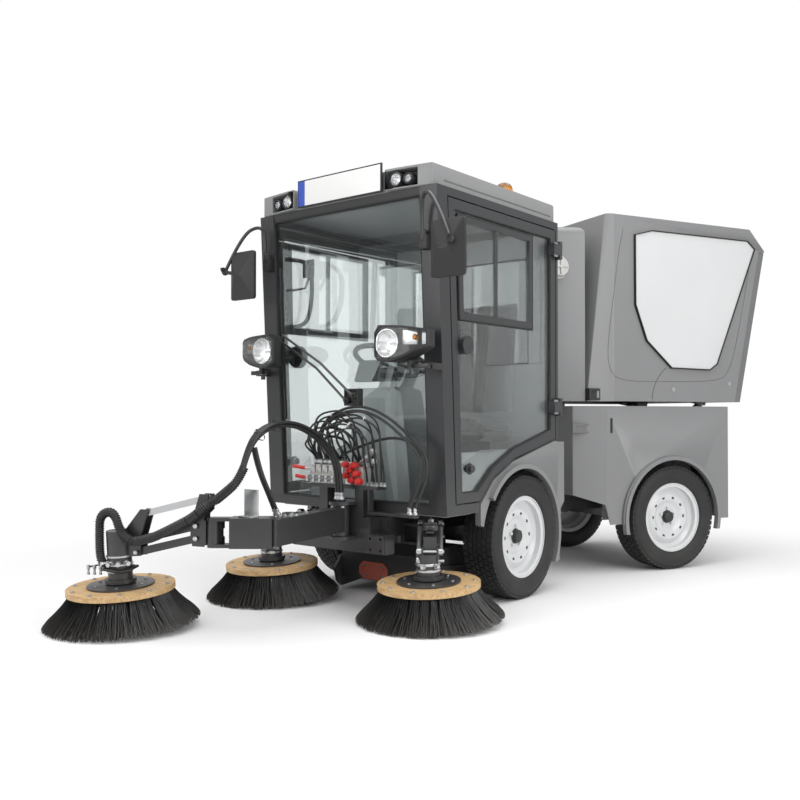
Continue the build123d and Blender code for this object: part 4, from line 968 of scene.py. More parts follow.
# %% Boom hoses
BOOM_PIN = (64.0, -750.0)
ELBOW_PIN = (-24.0, -1406.0)
BOOM_HIGH = 465.0
HOSE_RADIUS = 6.5
SLEEVE_RADIUS = 17.5
BOOM_LEAN = 0.0362
boom_loop = ((0, 500), (0, 610), (62, 702), (160, 778), (290, 832), (420, 836), (520, 796), (578, 722),
    (606, 640))
boom_bundle = ((-7.5, 0.0), (7.5, 0.0), (-15.0, 14.0), (0.0, 14.0), (15.0, 14.0))
bx, by = BOOM_PIN
routes = []
for side, out in boom_bundle:
    route = []
    for k, (forward, z) in enumerate(boom_loop):
        fan = side * (1.0 if k < 7 else 0.62)
        route.append((bx + BOOM_LEAN * forward + fan, by - forward - out * (1 if k < 2 else 0),
                      z + out * min(1.0, k / 3)))
    routes.append(route)
ends = []
for route in routes:
    ends += ferrule(route[0], route[1])
for x in (-9, 9):
    route = [(bx + 40 + x, by - 430, BOOM_HIGH + 0.5), (bx + 34 + x, by - 462, 540),
        (bx + 24 + x, by - 520, 660), (bx + 20 + x, by - 540, 748)]
    routes.append(route)
    ends += ferrule(route[0], route[1])
boom_lines = hoses("boom_lines", "front_boom", routes, HOSE_RADIUS, hose_rubber)
boom_ends = finished("boom_hose_ends", "front_boom", zinc, ends)
hx, hy = bx + 26, by - 588
sleeve_route = [(hx - 6, hy - 6, 668), (hx - 8, hy - 34, 618), (hx - 44, hy - 52, 580),
                (ELBOW_PIN[0] + 12, ELBOW_PIN[1] + 4, 540)]
boom_sleeve = hoses("boom_sleeve", "front_boom", [sleeve_route], SLEEVE_RADIUS, sleeve_rubber,
                    rib=2.1, pitch=9.0, step=1.8, sides=20)
clamp = [slab(hx - 40, hx + 40, hy + 26, hy + 32, BOOM_HIGH + 4.3, 580, 2),
         slab(hx - 40, hx + 40, hy - 6, hy + 32, BOOM_HIGH + 4.3, BOOM_HIGH + 10, 2)]
boom_clamp = finished("boom_clamp", "front_boom", zinc, clamp)

# %% [markdown]
# Past the elbow the sleeve follows the third arm. Each stretch rides on the link that carries
# it, and a short stretch between two links is a loose piece on no body.

# %% Sleeve along the third arm
arm_turn = math.atan2(FRONT_BRUSH[1] - ELBOW_PIN[1], FRONT_BRUSH[0] - ELBOW_PIN[0])


def on_arm(out, sideways, z):
    """A point given along the third arm, on the machine, in millimetres."""
    c, s = math.cos(arm_turn), math.sin(arm_turn)
    return (ELBOW_PIN[0] + out * c - sideways * s, ELBOW_PIN[1] + out * s + sideways * c, z)


link_route = [on_arm(*p) for p in ((90, 52, 458), (142, 56, 432), (206, 56, 402), (272, 56, 374),
    (341, 56, 363))]
head_route = [on_arm(*p) for p in ((353, 56, 366), (404, 57, 384), (440, 57, 486), (510, 58, 467),
    (511, 59, 385), (509, 58, 300), (500, 52, 266), (478, 38, 246))]
elbow_route = [sleeve_route[-1], on_arm(4, 26, 528), on_arm(24, 44, 508), on_arm(44, 50, 488)]
rib_values = dict(rib=2.1, pitch=9.0, step=1.8, sides=20)
arm_sleeve = hoses("link_sleeve", "upper_link", [link_route], SLEEVE_RADIUS, sleeve_rubber, **rib_values)
head_sleeve = hoses("head_sleeve", "third_head", [head_route], SLEEVE_RADIUS, sleeve_rubber, **rib_values)
elbow_sleeve = hoses("elbow_sleeve", "boom_elbow", [elbow_route], SLEEVE_RADIUS, sleeve_rubber, **rib_values)
lift_sleeve = hoses("lift_sleeve", None, [[on_arm(42, 49.6, 490), on_arm(66, 51, 471), on_arm(92, 52, 457)]],
                    SLEEVE_RADIUS, sleeve_rubber, **rib_values)
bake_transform(lift_sleeve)
knee_sleeve = hoses("knee_sleeve", None, [[on_arm(338, 56, 363.4), on_arm(347, 56, 363.6),
    on_arm(356, 56, 367)]], SLEEVE_RADIUS, sleeve_rubber, **rib_values)
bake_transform(knee_sleeve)

# %% [markdown]
# The valve bank's own loops stand in front of the windscreen. Three of them end on a rail at
# the left, where the side arm's hoses join.

# %% Valve hoses
VALVE_BACK = -661.5
valve_loops = (
    ((-93, VALVE_BACK, 648.4), (-93, VALVE_BACK, 690), (-101, -690, 724), (-120, -690, 790),
     (-84, -690, 862), (20, -690, 908), (120, -690, 920), (214, -690, 902), (296, -690, 866),
     (378, -690, 812), (462, -690, 752), (506, -690, 690), (504, -690, 611), (466, -690, 530),
     (440, -690, 480), (440, -690, 448.6)),
    ((-45, VALVE_BACK, 648.4), (-45, VALVE_BACK, 690), (-76, -706, 724), (-104, -706, 786), (-70, -706, 848),
     (26, -706, 890), (118, -706, 902), (208, -706, 886), (288, -706, 850), (368, -706, 796),
     (446, -706, 738), (486, -706, 682), (486, -706, 611), (450, -706, 530), (424, -706, 480),
     (424, -706, 448.6)),
    ((-21, VALVE_BACK, 648.4), (-21, VALVE_BACK, 688), (24, -692, 700), (148, -692, 744), (283, -692, 779),
     (379, -692, 776), (446, -692, 742), (474, -692, 690), (466, -692, 600), (432, -692, 540),
     (408, -692, 490), (408, -692, 448.6)),
    ((-150, VALVE_BACK, 648.4), (-150, VALVE_BACK, 686), (-156, -674, 722), (-136, -674, 762),
     (-60, -674, 784), (20, -674, 764), (72, -674, 706), (78, VALVE_BACK, 682), (78, VALVE_BACK, 644.4)),
    ((-172, VALVE_BACK, 648.4), (-172, VALVE_BACK, 686), (-182, -674, 728), (-164, -674, 786),
     (-100, -674, 826), (10, -674, 812), (86, -674, 756), (106, -674, 690), (104, VALVE_BACK, 682),
     (104, VALVE_BACK, 644.4)),
)
valve_lines = hoses("valve_lines", "chassis", valve_loops, HOSE_RADIUS, hose_rubber)
ends = []
for loop in valve_loops:
    ends += ferrule(loop[0], loop[1]) + ferrule(loop[-1], loop[-2])
valve_ends = finished("valve_hose_ends", "chassis", zinc, ends)


def tie(middle, way, radius, wide=4.5):
    """A cable tie round a bundle, with its square head."""
    way = Vector(way).normalized()
    band = turned([(radius, 0), (radius + 1.2, 0), (radius + 1.2, wide), (radius, wide), (radius, 0)],
                  Vector(middle) - way * wide / 2, way, 24, open_ends=True)
    head = slab(-4, 4, radius - 1, radius + 5, -wide * 0.7, wide * 0.7, 1)
    moved(head, Matrix.Translation(Vector(middle)) @ way.to_track_quat("Z", "Y").to_matrix().to_4x4())
    return [band, head]


bands = []
for k in (3, 5, 6):
    a, b, c = Vector(boom_loop[k - 1]), Vector(boom_loop[k]), Vector(boom_loop[k + 1])
    way = (c - a).normalized()
    middle = 0.5 * b + 0.25 * a + 0.25 * c
    spot = (bx + BOOM_LEAN * middle.x, by - middle.x, middle.y + 9)
    bands += tie(spot, (BOOM_LEAN * way.x, -way.x, way.y), 25)
boom_ties = finished("boom_ties", "front_boom", hose_rubber, bands)
print("hoses laid")

# %% [markdown]
# ## Cab
# The roof is one moulding with a bowed front, two lamp recesses and a seat for the plate. A
# moulder's part is easiest to make as a plain block that is then cut, so a Boolean takes the
# recesses out and a Bevel rounds what is left.

# %% Cutting helper


def carved(name, base, cutters, operation="DIFFERENCE", round_edges=0.0, segments=3, angle=30):
    """The base shape cut or kept by the cutters, with rounded edges, as a mesh in the same units."""
    objects = []
    for k, shape in enumerate([base, *cutters]):
        mesh = bpy.data.meshes.new(f"{name}_{k}")
        bmesh.ops.scale(shape, vec=(0.001, 0.001, 0.001), verts=shape.verts)
        shape.to_mesh(mesh)
        shape.free()
        objects.append(placed(f"{name}_{k}", mesh))
    for cutter in objects[1:]:
        knife = objects[0].modifiers.new("cut", "BOOLEAN")
        knife.operation = operation
        knife.object = cutter
        knife.solver = "EXACT"
    if round_edges:
        soft = objects[0].modifiers.new("round", "BEVEL")
        soft.width = round_edges / 1000
        soft.segments = segments
        soft.limit_method = "ANGLE"
        soft.angle_limit = math.radians(angle)
    mesh = baked(objects[0])
    result = bmesh.new()
    result.from_mesh(mesh)
    bmesh.ops.scale(result, vec=(1000, 1000, 1000), verts=result.verts)
    for piece in objects:
        bpy.data.objects.remove(piece)
    return result


# %% Roof
CAB_FRONT_LOW, CAB_FRONT_HIGH, CAB_LOW, CAB_HIGH = -608.0, -680.0, 484.0, 1866.0
ROOF_HALF, ROOF_FRONT, ROOF_REAR, ROOF_WALL, ROOF_BOW = 524.0, -723.0, 385.0, 95.0, 45.0
PLATE_HALF = 280.0


def front_of(z):
    """y of the cab's leaning front at a height."""
    return CAB_FRONT_LOW + (CAB_FRONT_HIGH - CAB_FRONT_LOW) * (z - CAB_LOW) / (CAB_HIGH - CAB_LOW)


roof_z = CAB_HIGH + 0.6
plan = [(ROOF_HALF, ROOF_REAR - 30), (ROOF_HALF - 10, ROOF_REAR), (-ROOF_HALF + 10, ROOF_REAR),
        (-ROOF_HALF, ROOF_REAR - 30)]
for k in range(17):
    x = -ROOF_HALF + 2 * ROOF_HALF * k / 16
    plan.append((x, ROOF_FRONT + ROOF_BOW * (x / ROOF_HALF) ** 2))
pods = []
for s in (-1, 1):
    x0, x1 = sorted((s * (PLATE_HALF + 10), s * (PLATE_HALF + 172)))
    pods.append(slab(x0, x1, ROOF_FRONT - 20, ROOF_FRONT + 86, roof_z + 8, roof_z + 84))
pods.append(slab(-PLATE_HALF - 5, PLATE_HALF + 5, ROOF_FRONT - 20, ROOF_FRONT + 40, roof_z - 5,
    roof_z + 140))
gutters = [side_slab(s, ROOF_HALF - 7, ROOF_HALF + 8, ROOF_FRONT + 130, ROOF_REAR - 50,
                roof_z + 26, roof_z + 34) for s in (-1, 1)]
roof_shape = carved("roof", plate(plan, "z", roof_z, roof_z + ROOF_WALL), pods + gutters, round_edges=11)
roof_cap = finished("roof_moulding", "chassis", roof_grey, [roof_shape], crisp=40)
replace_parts(roof_cap, "roof")

# %% Roof lamps
pod_dark = [side_slab(s, PLATE_HALF + 14, PLATE_HALF + 168, ROOF_FRONT + 74,
    ROOF_FRONT + 85.5, roof_z + 10, roof_z + 82, 2) for s in (-1, 1)]
pod_rings, pod_bowls, pod_lenses, pod_bulbs = [], [], [], []
for s in (-1, 1):
    for reach, high, radius in ((58, 46, 35), (126, 40, 25)):
        x = s * (PLATE_HALF + reach)
        back = (x, ROOF_FRONT + 76, roof_z + high)
        pod_rings.append(turned([(radius - 8, 0), (radius, 0), (radius, 52), (radius - 2, 55),
            (radius - 5, 55), (radius - 6, 50), (radius - 6, 14), (radius - 8, 0)], back, FORWARD, 32,
            open_ends=True))
        pod_bowls.append(turned([(0, 14), (7, 15), (radius * 0.55, 24), (radius * 0.75, 36),
            (radius - 6.4, 48)], back, FORWARD, 24, open_ends=True))
        pod_bulbs.append(turned([(0, 34), (4, 33), (6, 29), (6, 15)], back, FORWARD, 12, open_ends=True))
        pod_lenses.append(turned([(0, 54), (radius * 0.6, 53), (radius - 5.5, 50), (radius - 5.5, 47.5),
                                  (radius * 0.6, 50.5), (0, 51.5)], back, FORWARD, 28, open_ends=True))
for name, material, shapes, group in (
        ("roof_lamp_backs", black_plastic, pod_dark + pod_rings, "black_plastic"),
        ("roof_lamp_bowls", chrome, pod_bowls + pod_bulbs, "zinc"),
        ("roof_lamp_lenses", clear_lens, pod_lenses, "clear_lens")):
    finished(name, "chassis", material, shapes, crisp=45)

# %% [markdown]
# The registration plate is a thin pressed sheet in a black holder. It stays blank here, with
# only its blue band.

# %% Plate
plate_y = -703.6
holder = [slab(-262, 262, plate_y, plate_y + 9, 1868, 1999, 3)]
finished("plate_holder", "chassis", black_plastic, holder)
sheet_face = [slab(-213, 255, plate_y - 1.6, plate_y + 1, 1875, 1992, 0.8)]
plate_sheet = finished("plate_sheet", "chassis", plate_white, sheet_face)
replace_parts(plate_sheet, "number_plate")
finished("plate_band", "chassis", plate_blue,
                 [slab(-255, -213.4, plate_y - 1.6, plate_y + 1, 1875, 1992, 0.8)])

# %% [markdown]
# Headlamps are moulded housings with a clear cover. Under the cover sit a mirrored bowl with
# its bulb, and an amber bulb for the turn signal. The housing is the overlap of its front
# outline and its plan, which gives the swept-back corner.

# %% Headlamps


def lamp_face(inset=0.0):
    i = inset
    return [(312 + i, 1130 + 0.5 * i), (312 + i, 1232 - 0.5 * i), (346 + 0.5 * i, 1262 - i), (470, 1254 - i),
        (575 - i, 1236 - i), (575 - i, 1166 + i), (470, 1120 + i), (400, 1103 + i),
        (346 + 0.5 * i, 1107 + i)]


def lamp_plan(back=0.0):
    outline = [(300, -808), (345, -826), (440, -829), (520, -812), (572, -775), (592, -742), (560, -716),
               (430, -712), (330, -745), (300, -785)]
    return [(x, y + back) for x, y in outline]


def mirrored(bm, s):
    """The left-hand shape, or its mirror image for the right side."""
    if s < 0:
        bmesh.ops.scale(bm, vec=(-1, 1, 1), verts=bm.verts)
        bmesh.ops.reverse_faces(bm, faces=bm.faces)
    return bm


for s, side in ((1, "left"), (-1, "right")):
    well = carved("well", plate(lamp_face(9), "y", -900, -650), [plate(lamp_plan(48), "z", 1050, 1300)])
    housing = carved("housing", plate(lamp_face(), "y", -900, -650), [plate(lamp_plan(), "z", 1050, 1300)],
                     "INTERSECT", round_edges=9)
    shell = carved("shell", housing, [well])
    cover = carved("cover", plate(lamp_face(9.6), "y", -900, -650), [plate(lamp_plan(1.5), "z", 1050, 1300)],
                   "INTERSECT")
    cover = carved("cover", cover, [plate(lamp_plan(4.5), "z", 1040, 1310)])
    bowl_at = (386, -780, 1184)
    bowl = turned([(0, 0), (12, 1), (30, 8), (46, 20), (58, 38), (61, 38), (61, 34)], bowl_at, FORWARD,
        16, open_ends=True)
    bulb = turned([(0, 30), (6, 28), (9, 22), (9, 1)], bowl_at, FORWARD, 16, open_ends=True)
    face = slab(450, 560, -768, -764, 1176, 1238, 1)
    moved(face, Matrix.Translation((505, -766, 0)) @ Matrix.Rotation(math.radians(24), 4, "Z")
          @ Matrix.Translation((-505, 766, 0)))
    amber_bulb = turned([(0, 34), (8, 32), (12, 25), (13, 14), (10, 0)], (505, -762, 1206), (0.25, -1, 0),
        20)
    bracket = [slab(440, 548, -742, -722, 1076, 1096, 3), slab(452, 470, -760, -700, 1078, 1112, 2),
               turned([(11, 0), (11, 16), (7, 16), (7, 28)], (461, -740, 1052), UP, 6)]
    stem = slab(520, 548, front_of(1090) + 0.5 - 70, front_of(1090) - 0.5, 1072, 1100, 3)
    for name, material, shapes, group in (
            (f"headlamp_housing_{side}", black_plastic, [shell], "black_plastic"),
            (f"headlamp_cover_{side}", clear_lens, [cover], "clear_lens"),
            (f"headlamp_bowl_{side}", chrome, [bowl, bulb, face], "zinc"),
            (f"turn_bulb_{side}", amber, [amber_bulb], "amber"),
            (f"headlamp_bracket_{side}", black_steel, bracket + [stem], "black_steel")):
        piece = finished(name, "chassis", material, [mirrored(b, s) for b in shapes], crisp=38)
        if side == "left" and "housing" in name:
            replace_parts(piece, "headlamps")
        if side == "left" and "cover" in name:
            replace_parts(piece, "headlamp_lenses")

# %% [markdown]
# Outside mirrors: a pyramid-backed shell with the glass behind it, a ball joint, and a bent
# tube from a bracket on the front post.

# %% Mirrors
mirror_tubes = {
    1: ((486, -700, 1628), (487, -706, 1765), (520, -735, 1822), (610, -785, 1796), (736, -838, 1580)),
    -1: ((-496, -700, 1640), (-482, -704, 1762), (-500, -728, 1815), (-580, -775, 1768), (-668, -806, 1590)),
}
mirror_heads = {1: (695, -806, 1557), -1: (-560, -790, 1565)}
shells, faces, joints_there = [], [], []
for s in (1, -1):
    x, y, z = mirror_heads[s]
    rows = []
    bm = bmesh.new()
    for half_w, half_h, depth, corner in ((84, 118, 16, 13), (84, 118, 2, 13), (78, 112, -2, 11),
            (28, 12, -34, 5), (24, 9, -36, 4)):
        row = []
        for cx, cz, start in ((1, 1, 0), (-1, 1, 90), (-1, -1, 180), (1, -1, 270)):
            for step in range(4):
                a = math.radians(start + 30 * step)
                row.append(bm.verts.new((x + cx * (half_w - corner) + corner * math.cos(a), y + depth,
                                         z + cz * (half_h - corner) + corner * math.sin(a))))
        rows.append(row)
    for low, high in zip(rows, rows[1:]):
        for k in range(16):
            bm.faces.new([low[k], low[(k + 1) % 16], high[(k + 1) % 16], high[k]])
    bm.faces.new(rows[0])
    bm.faces.new(rows[-1])
    bmesh.ops.recalc_face_normals(bm, faces=bm.faces)
    shells.append(bm)
    faces.append(slab(x - 77, x + 77, y + 16.2, y + 18, z - 111, z + 111, 0.6))
    end_spot = Vector(mirror_tubes[s][-1])
    ball = [(17 * math.sin(math.pi * k / 8), 17 - 17 * math.cos(math.pi * k / 8)) for k in range(9)]
    joints_there.append(turned(ball, end_spot - Vector((0, 0, 17)), UP, 20))
    joints_there.append(pipe([end_spot, (x + s * 14, y - 24, z + 6)], 9))
    joints_there.append(turned([(13, 0), (13, 12), (6, 12), (6, 22)], end_spot + Vector((0, -6, 8)),
        (0, -1, 0.3), 6))
    joints_there.append(side_slab(s, 466, 508, front_of(1620) - 34, front_of(1620) - 0.6, 1590,
        1652, 4))
    joints_there.append(turned([(14, 0), (14, 30), (11, 34)], (s * 486, front_of(1640) - 24, 1640),
        UP, 20))
mirror_shells = finished("mirror_shells", "chassis", black_plastic, shells + joints_there, crisp=28)
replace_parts(mirror_shells, "mirrors")
finished("mirror_faces", "chassis", mirror_glass, faces)
hoses("mirror_tubes", "chassis", [mirror_tubes[1], mirror_tubes[-1]], 8.5, black_steel, step=8)

# %% [markdown]
# The wiper parks upright at the right. Two thin arms swing it in parallel from a motor block
# at the middle, and the blade is a spring frame with a rubber lip.

# %% Wiper


def on_screen(x, z, out):
    return (x, front_of(z) + 8 - out, z)


wiper_block = carved("wiper_block", slab(12, 96, front_of(960) - 44, front_of(960) - 1, 922, 1000),
                     [slab(20, 88, front_of(960) - 70, front_of(960) - 32, 934, 990)], round_edges=5)
wiper_parts = [wiper_block]
for x, z in ((32, 946), (78, 968)):
    wiper_parts.append(turned([(16, 0), (16, 26), (12, 30), (7, 30), (7, 38)], on_screen(x, z, 34),
        FORWARD, 20))
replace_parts(finished("wiper_motor", "chassis", black_plastic, wiper_parts), "wiper")
arms = [pipe([on_screen(32, 946, 62), on_screen(-150, 1100, 58), on_screen(-398, 1240, 44)], 6, 10),
        pipe([on_screen(78, 968, 66), on_screen(-120, 1122, 60), on_screen(-380, 1268, 46)], 6, 10),
        pipe([on_screen(-398, 1236, 42), on_screen(-380, 1270, 42)], 7, 10)]
finished("wiper_arms", "chassis", black_steel, arms)
blade = [slab(-405, -396, front_of(1230) - 22, front_of(1230) - 10, 860, 1600, 1.5)]
moved(blade[0], Matrix.Translation((0, front_of(1230), 1230)) @ Matrix.Rotation(
    math.atan((CAB_FRONT_LOW - CAB_FRONT_HIGH) / (CAB_HIGH - CAB_LOW)), 4, "X")
    @ Matrix.Translation((0, -front_of(1230), -1230)))
for z0, z1 in ((1040, 1420), (940, 1140), (1320, 1520)):
    blade.append(pipe([on_screen(-400, z0, 20), on_screen(-400, (z0 + z1) / 2, 34), on_screen(-400, z1, 20)],
        3.5, 8))
finished("wiper_blade", "chassis", rubber_seal, blade)

# %% [markdown]
# Rubber seals run round each pane. Their paths are the rims of the CAD panes, so they always
# fit.

# %% Seals
for node, body, ways in (("cab_glass", "chassis", (FORWARD, (1, 0, 0), (-1, 0, 0), (0, 1, 0))),
                         ("door_left_glass", "left_door", ((1, 0, 0),)),
                         ("door_right_glass", "right_door", ((-1, 0, 0),))):
    strips = []
    for way in ways:
        for loop in rims(node, way, to_front, 0.98, 0.5)[:3]:
            lifted = [p + Vector(way) * 0.001 for p in thinned(loop, 0.012)]
            if len(lifted) > 3:
                strips.append(pipe(lifted, 0.0065, 8, closed=True))
    if strips:
        piece = finished(f"{node}_seal", body, rubber_seal, strips, millimetres=False, crisp=60)

# %% Door fittings
for s, body in ((1, "left_door"), (-1, "right_door")):
    y, z = -470.0, 1187.0
    x = s * 549.0
    ring = turned([(24, 0), (38, 0), (40, 3), (38, 9), (27, 9), (24, 6), (24, 0)], (x, y, z), (s, 0, 0), 40,
                  open_ends=True)
    cup = turned([(0, 1), (23.6, 1), (23.6, 3), (0, 3)], (x, y, z), (s, 0, 0), 32, open_ends=True)
    grip = slab(*sorted((x + s * 3, x + s * 14)), y - 8, y + 8, z - 22, z + 22, 3)
    lock = turned([(26, 0), (26, 4), (22, 6), (12, 6), (12, 14), (9, 16), (0, 16)], (x, -440, 640),
        (s, 0, 0), 28)
    finished(f"handle_{body}", body, black_plastic, [ring, grip, lock])
    finished(f"handle_cup_{body}", body, cabin_grey, [cup])
    places = []
    for hinge_z in (920, 1721):
        for dz in (-28, 28):
            for dy in (-52, -34):
                places.append((s * 567.5, 356 + dy, hinge_z + dz, (s, 0, 0)))
    screw_row(f"hinge_screws_{body}", body, places, 6, 4, 9.5)

# %% [markdown]
# ### Inside the cab
# Behind the glass there is a grab tube, a small mirror, a loudspeaker on the right-hand post and
# a display on the pillar. They show through the windscreen, so they are made, but simply.

# %% Inside the cab
grab = hoses("grab_tube", "chassis", [((-452, -560, 1660), (-448, -520, 1668), (-440, -440, 1650),
    (-440, -420, 1560), (-440, -430, 1420), (-446, -470, 1330), (-452, -560, 1320))], 11, black_plastic,
    step=10)
inner = [slab(-372, -300, -560, -548, 1560, 1650, 6),
    pipe([(-336, -552, 1560), (-356, -556, 1510), (-440, -580, 1500)], 6, 8),
    turned([(0, 0), (52, 0), (56, 8), (56, 30), (40, 44), (0, 44)], (-420, -560, 1170), (0, 1, 0), 32),
    pipe([(-420, -540, 1170), (-470, -580, 1168)], 10, 8)]
finished("cab_fittings", "chassis", black_plastic, inner)
display = [slab(-110, 70, -470, -452, 1040, 1150, 6)]
moved(display[0], Matrix.Translation((0, -460, 1040)) @ Matrix.Rotation(math.radians(-22), 4, "X")
      @ Matrix.Translation((0, 460, -1040)))
finished("display", "chassis", black_plastic, display)
print("cab dressed")

# %% [markdown]
# ## Valve bank
# A cast bank of sections with an upper pipe and ports, two levers with red grips, and red caps
# beside a silver end plate. It could be one sculpted mesh, but short loops are easier to change.

# %% Valve bank
BANK_Z = 560.5
bank_low, bank_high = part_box("hydraulic_block")
bank_x0 = (bank_low[0] - SHIFT.x) * 1000
bank_x1 = (bank_high[0] - SHIFT.x) * 1000
bank = [slab(bank_x0 + 4, 30, -700, -636, BANK_Z, BANK_Z + 52, 3)]
silver, red, nuts = [], [], []
for k in range(5):
    x = bank_x0 + 6 + 40 * k
    bank.append(slab(x, x + 32, -708, -644, BANK_Z + 50, BANK_Z + 88, 4))
    bank.append(slab(x + 4, x + 28, -722, -706, BANK_Z + 8, BANK_Z + 42, 3))
    for z in (18, 36):
        silver.append(turned([(9, 0), (9, 8), (6.5, 8), (6.5, 18), (8, 18), (8, 26)],
            (x + 16, -718, BANK_Z + z), FORWARD, 12))
    nuts += [(x + 7, -708.4, BANK_Z + 57, FORWARD), (x + 25, -708.4, BANK_Z + 81, FORWARD)]
silver.append(turned([(8, 0), (8, 214)], (bank_x0 + 2, -676, BANK_Z + 100), (1, 0, 0), 20))
for x, length, radius in ((6, 22, 12), (34, 34, 15), (76, 20, 13), (104, 34, 15), (150, 24, 13),
        (182, 30, 15)):
    silver.append(turned([(radius - 3, 0), (radius, 3), (radius, length - 3), (radius - 3, length)],
                         (bank_x0 + x, -676, BANK_Z + 100), (1, 0, 0), 12))
silver.append(slab(34, 44, -716, -646, BANK_Z, BANK_Z + 108, 3))
silver.append(slab(44, 92, -708, -698, BANK_Z + 4, BANK_Z + 106, 2))
bank.append(slab(44, bank_x1 - 4, -694, -640, BANK_Z, BANK_Z + 84, 5))
for x, z in ((58, 94), (84, 70), (62, 44), (96, 24), (112, 92), (124, 54), (138, 20)):
    red.append(turned([(11, 0), (15, 3), (15, 26), (12, 30), (12, 36), (0, 38)], (x, -696, BANK_Z + z),
        FORWARD, 20))
    silver.append(turned([(9, 0), (9, 10)], (x, -692, BANK_Z + z), FORWARD, 6))
for x, z, reach in ((bank_x0 + 10, 66, 64), (bank_x0 + 12, 22, 50)):
    silver.append(pipe([(x, -700, BANK_Z + z), (x - 18, -728, BANK_Z + z + 5)], 4.5, 10))
    red.append(pipe([(x - 18, -728, BANK_Z + z + 5), (x - 26, -738, BANK_Z + z + 7),
        (x - reach, -760, BANK_Z + z + 14)], 8.5, 14))
for dz in (0, 30):
    start_at = Vector((116, -676, BANK_Z + 70 + dz))
    way = Vector((0.86, -0.16, 0.36 + 0.006 * dz)).normalized()
    silver.append(turned([(9, 0), (9, 30), (13, 33), (13, 62), (10, 66), (10, 84), (14, 88), (14, 112),
        (9, 116)], start_at, way, 18))
bank_piece = finished("valve_bank", "chassis", valve_grey, bank)
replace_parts(bank_piece, "hydraulic_block")
for name, material, shapes in (("valve_pipes", zinc, silver), ("valve_caps", red_plastic, red)):
    finished(name, "chassis", material, shapes)
screw_row("valve_screws", "chassis", nuts, 4, 4, 6)
rail = [slab(190, 455, -714, -682, 436, 448, 2), slab(190, 200, -714, -682, 446, 546, 2)]
finished("hose_rail", "chassis", black_steel, rail)

# %% [markdown]
# The bank's many thin lines are loops of one kind: up from the bank, over and down again. A
# table gives where each starts and ends and how high it rises, so the bundle stays easy to change.

# %% Thin lines
thin = []
lines_table = (
    # start x, end x, top z, how far forward, lean
    (-170, -60, 812, 30, 10), (-150, 20, 842, 44, -14), (-128, 60, 868, 18, 8), (-104, 100, 890, 52, 20),
    (-86, 128, 852, 34, -22), (-64, 150, 830, 60, 14), (-48, 176, 872, 24, 26), (-30, 206, 846, 48, -8),
    (-160, -100, 772, 58, 4), (-134, -20, 790, 66, -10), (10, 232, 886, 38, 18), (30, 250, 858, 56, 6),
    (-20, 92, 800, 70, 12), (48, 190, 812, 68, -12),
)
for k, (x0, x1, top, forward, lean) in enumerate(lines_table):
    start_z = BANK_Z + (89 if x0 < 30 else 85)
    end_z = BANK_Z + 89 if x1 < 30 else (BANK_Z + 85 if x1 < 140 else BANK_Z - 2)
    middle = (x0 + x1) / 2 + lean
    y = -676 - forward
    thin.append([(x0, -668, start_z), (x0, -668, start_z + 30), (x0 - 26, y, (start_z + top) / 2 + 26),
        (x0 - 6, y, top - 12), (middle - 20, y, top + 10), (middle + 40, y, top + 4), (x1 + 24, y, top - 40),
        (x1 + 30, y + 6, (end_z + top) / 2), (x1, -668, end_z + 34), (x1, -668, end_z)])
hoses("thin_lines", "chassis", thin, 4.6, hose_rubber, step=9, sides=8)
ends = []
for line in thin:
    ends += ferrule(line[0], line[1], 6.0, 20) + ferrule(line[-1], line[-2], 6.0, 20)
finished("thin_line_ends", "chassis", zinc, ends)
white_ties = []
for k, i in ((2, 4), (5, 5), (11, 5), (13, 4)):
    before, here, after = (Vector(thin[k][i + step]) for step in (-1, 0, 1))
    white_ties += tie(here, after - before, 5.2, 5)
finished("white_ties", "chassis", plate_white, white_ties)
print("valve bank dressed")

# %% [markdown]
# ## Brush arms
# Each board carries a dark steel plate under its motor. A side arm has three plated tubes between
# clevis brackets, two on one side and one on the other, and a wing nut on top. They are drawn
# once in the arm's own frame, which is then turned to each arm.

# %% Board plates
for side, (cx, cy, body) in brush_centres.items():
    place = brush_place((cx, cy))
    top = BRISTLE_LENGTH + BOARD_WALL
    disc = turned([(40, 6.4), (134, 6.4), (135, 5), (135, 0.5), (137, 0.5), (137, 7.4), (132, 8.4),
        (60, 8.4), (54, 12), (40, 12), (40, 6.4)], (0, 0, top), UP, 48, open_ends=True)
    finished(f"board_plate_{side}", body, black_steel, [moved(disc, place)])


def along_arm(s, centre):
    """A frame on a side arm in millimetres: x runs out from the upright pin, z is up."""
    hinge = (s * SIDE_HINGE[0], SIDE_HINGE[1])
    turn = math.atan2(centre[1] - hinge[1], centre[0] - hinge[0])
    return Matrix.Translation((*hinge, 0)) @ Matrix.Rotation(turn, 4, "Z")


def rod_end(spot, radius, across=(0, 1, 0), wide=18):
    return turned([(radius * 0.45, 0), (radius, 0), (radius, wide), (radius * 0.45, wide)],
                  Vector(spot) - Vector(across) * wide / 2, across, 20)


